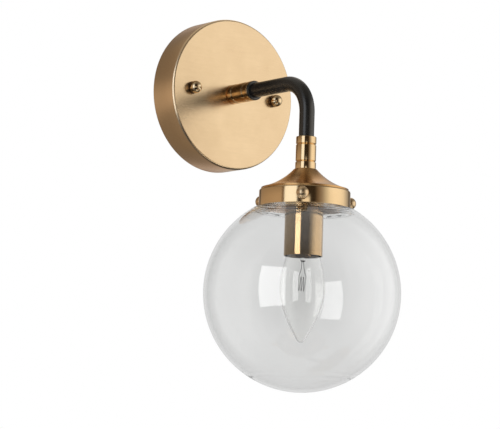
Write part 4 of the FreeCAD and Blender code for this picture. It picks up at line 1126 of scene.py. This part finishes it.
# =====================================================================
# wires and their connectors
# =====================================================================
def eased(pts, radii, step=6):
    """Straight runs joined by arcs of the given radii."""
    P = [Vector(p) for p in pts]
    out = [P[0]]
    for i in range(1, len(P) - 1):
        d0 = (P[i] - P[i - 1]).normalized()
        d1 = (P[i + 1] - P[i]).normalized()
        ang = d0.angle(d1)
        t = radii[i - 1] * math.tan(ang / 2)
        a = P[i] - d0 * t
        c_ = P[i] + (d1 - d0).normalized() * (radii[i - 1] / math.cos(ang / 2))
        ax = d0.cross(d1).normalized()
        n = max(step, int(math.degrees(ang) / 6))
        run = a - out[-1]
        m = int(run.length / 6)
        for k in range(1, m):
            out.append(a - run * (1 - k / m))
        for k in range(n + 1):
            out.append(c_ + Matrix.Rotation(ang * k / n, 3, ax) @ (a - c_))
    out.append(P[-1])
    return out


for s, nm, mt, sl in ((1, "line_wire", M_WIRE_K, "wire_black"), (-1, "neutral_wire", M_WIRE_W, "wire_white")):
    pts = [(s * 14.0, -7.0, -13.0), (s * 14.0, -7.0, 0.0), (s * 1.25, -7.0, 0.0), (s * 1.25, -REACH, 0),
           (s * 1.25, -REACH, -95.3), (s * 4.6, -REACH, -97.7), (s * 4.6, -REACH, -101.2)]
    run_ = eased(pts, [5.0, 4.6, BEND, 1.8, 1.8])
    done(joined(nm + "_insulated", [sweep_geo(run_, 0.9, 20)], mt, 60), "fixture", sl, nm)
gw = eased([(24.25, -2.95, 18.0), (24.25, -2.95, 12.0), (25.0, -7.0, 4.0), (25.0, -7.0, -13.0)], [3.0, 5.0])
done(joined("ground_wire_insulated", [sweep_geo(gw, 0.9, 20)], M_WIRE_G, 60), "fixture", "wire_green", "ground_wire")


def ribs(r, a, t):
    """Moulded grip ribs down a tapered cap; the mouth stays round."""
    if a > -14.6 or r < 2.2:
        return r, a
    w = max(0.0, math.cos(9 * t)) ** 0.5
    return r - 0.28 * (1 - w), a


caps = []
for x in (14.0, -14.0, 25.0):
    out_ = [(3.9 - 1.3 * (k / 24.0), -13.05 - 15.0 * k / 24.0) for k in range(25)]
    out_[-1] = (2.3, -27.9)
    pr = rounded([(2.6, -13.05, 0.2, 2)], False) + [(3.7, -13.05)] + [(3.88, -13.2)] + out_[1:] + [(1.6, -28.05), (0.0, -28.05)] + \
        [(0.0, -24.5), (1.3, -24.0), (1.9, -20.0), (2.5, -15.0)]
    caps.append(lathe_geo(pr, (0, 0, 1), (x, -7.0, 0), 108, True, ribs))
done(joined("wire_connectors_ribbed", caps, M_CONN, 30), "fixture", "connector_plastic", "wire_connectors")

# =====================================================================
# floor
# =====================================================================
fm, fN, fbs, ftc = new_mat("floor_paper")
fn = fN.n("ShaderNodeTexNoise", ins={"Vector": ftc.outputs["Object"], "Scale": 3.0, "Detail": 4.0})
fN.put(fbs.inputs["Base Color"], fN.mix(fn.outputs["Fac"], (0.80, 0.80, 0.79, 1), (0.84, 0.84, 0.83, 1)))
fbs.inputs["Roughness"].default_value = 0.9
fbs.inputs["Emission Color"].default_value = (0.34, 0.34, 0.335, 1)
fbs.inputs["Emission Strength"].default_value = 1.0
flp = fm.node_tree.nodes.new("ShaderNodeLightPath")
fsep = fN.n("ShaderNodeSeparateXYZ", ins={0: ftc.outputs["Object"]})
frad = fN.math("SQRT", fN.math("ADD", fN.math("MULTIPLY", fsep.outputs[0], fsep.outputs[0]), fN.math("MULTIPLY", fsep.outputs[1], fsep.outputs[1])))
ffar = fN.ramp(fN.math("MULTIPLY", frad, 1.0 / 6.0), [(0.16, (0, 0, 0, 1)), (0.45, (1, 1, 1, 1))], "EASE")
fwhite = fN.n("ShaderNodeEmission", ins={0: fN.mix(fn.outputs["Fac"], (1, 1, 1, 1), (.995, .995, .99, 1)), 1: 1.0})
fclear = fm.node_tree.nodes.new("ShaderNodeBsdfTransparent")
fout = [n for n in fm.node_tree.nodes if n.type == "OUTPUT_MATERIAL"][0]
FL = fm.node_tree.links


def fmix(fac, one, two):
    nd = fm.node_tree.nodes.new("ShaderNodeMixShader")
    FL.new(fac, nd.inputs[0])
    FL.new(one, nd.inputs[1])
    FL.new(two, nd.inputs[2])
    return nd.outputs[0]


fsh = fmix(ffar.outputs[0], fbs.outputs[0], fwhite.outputs[0])
fsh = fmix(flp.outputs["Is Glossy Ray"], fsh, fclear.outputs[0])
fsh = fmix(flp.outputs["Is Singular Ray"], fsh, fclear.outputs[0])
FL.new(fsh, fout.inputs[0])
fl = bpy.data.meshes.new("floor")
fl.from_pydata([(0, 0, -0.42)] + [(6 * math.cos(math.radians(5 * i)), 6 * math.sin(math.radians(5 * i)), -0.42) for i in range(72)], [],
               [(0, i + 1, (i + 1) % 72 + 1) for i in range(72)])
flo = bpy.data.objects.new("floor", fl)
fl.materials.append(fm)
SC.collection.objects.link(flo)
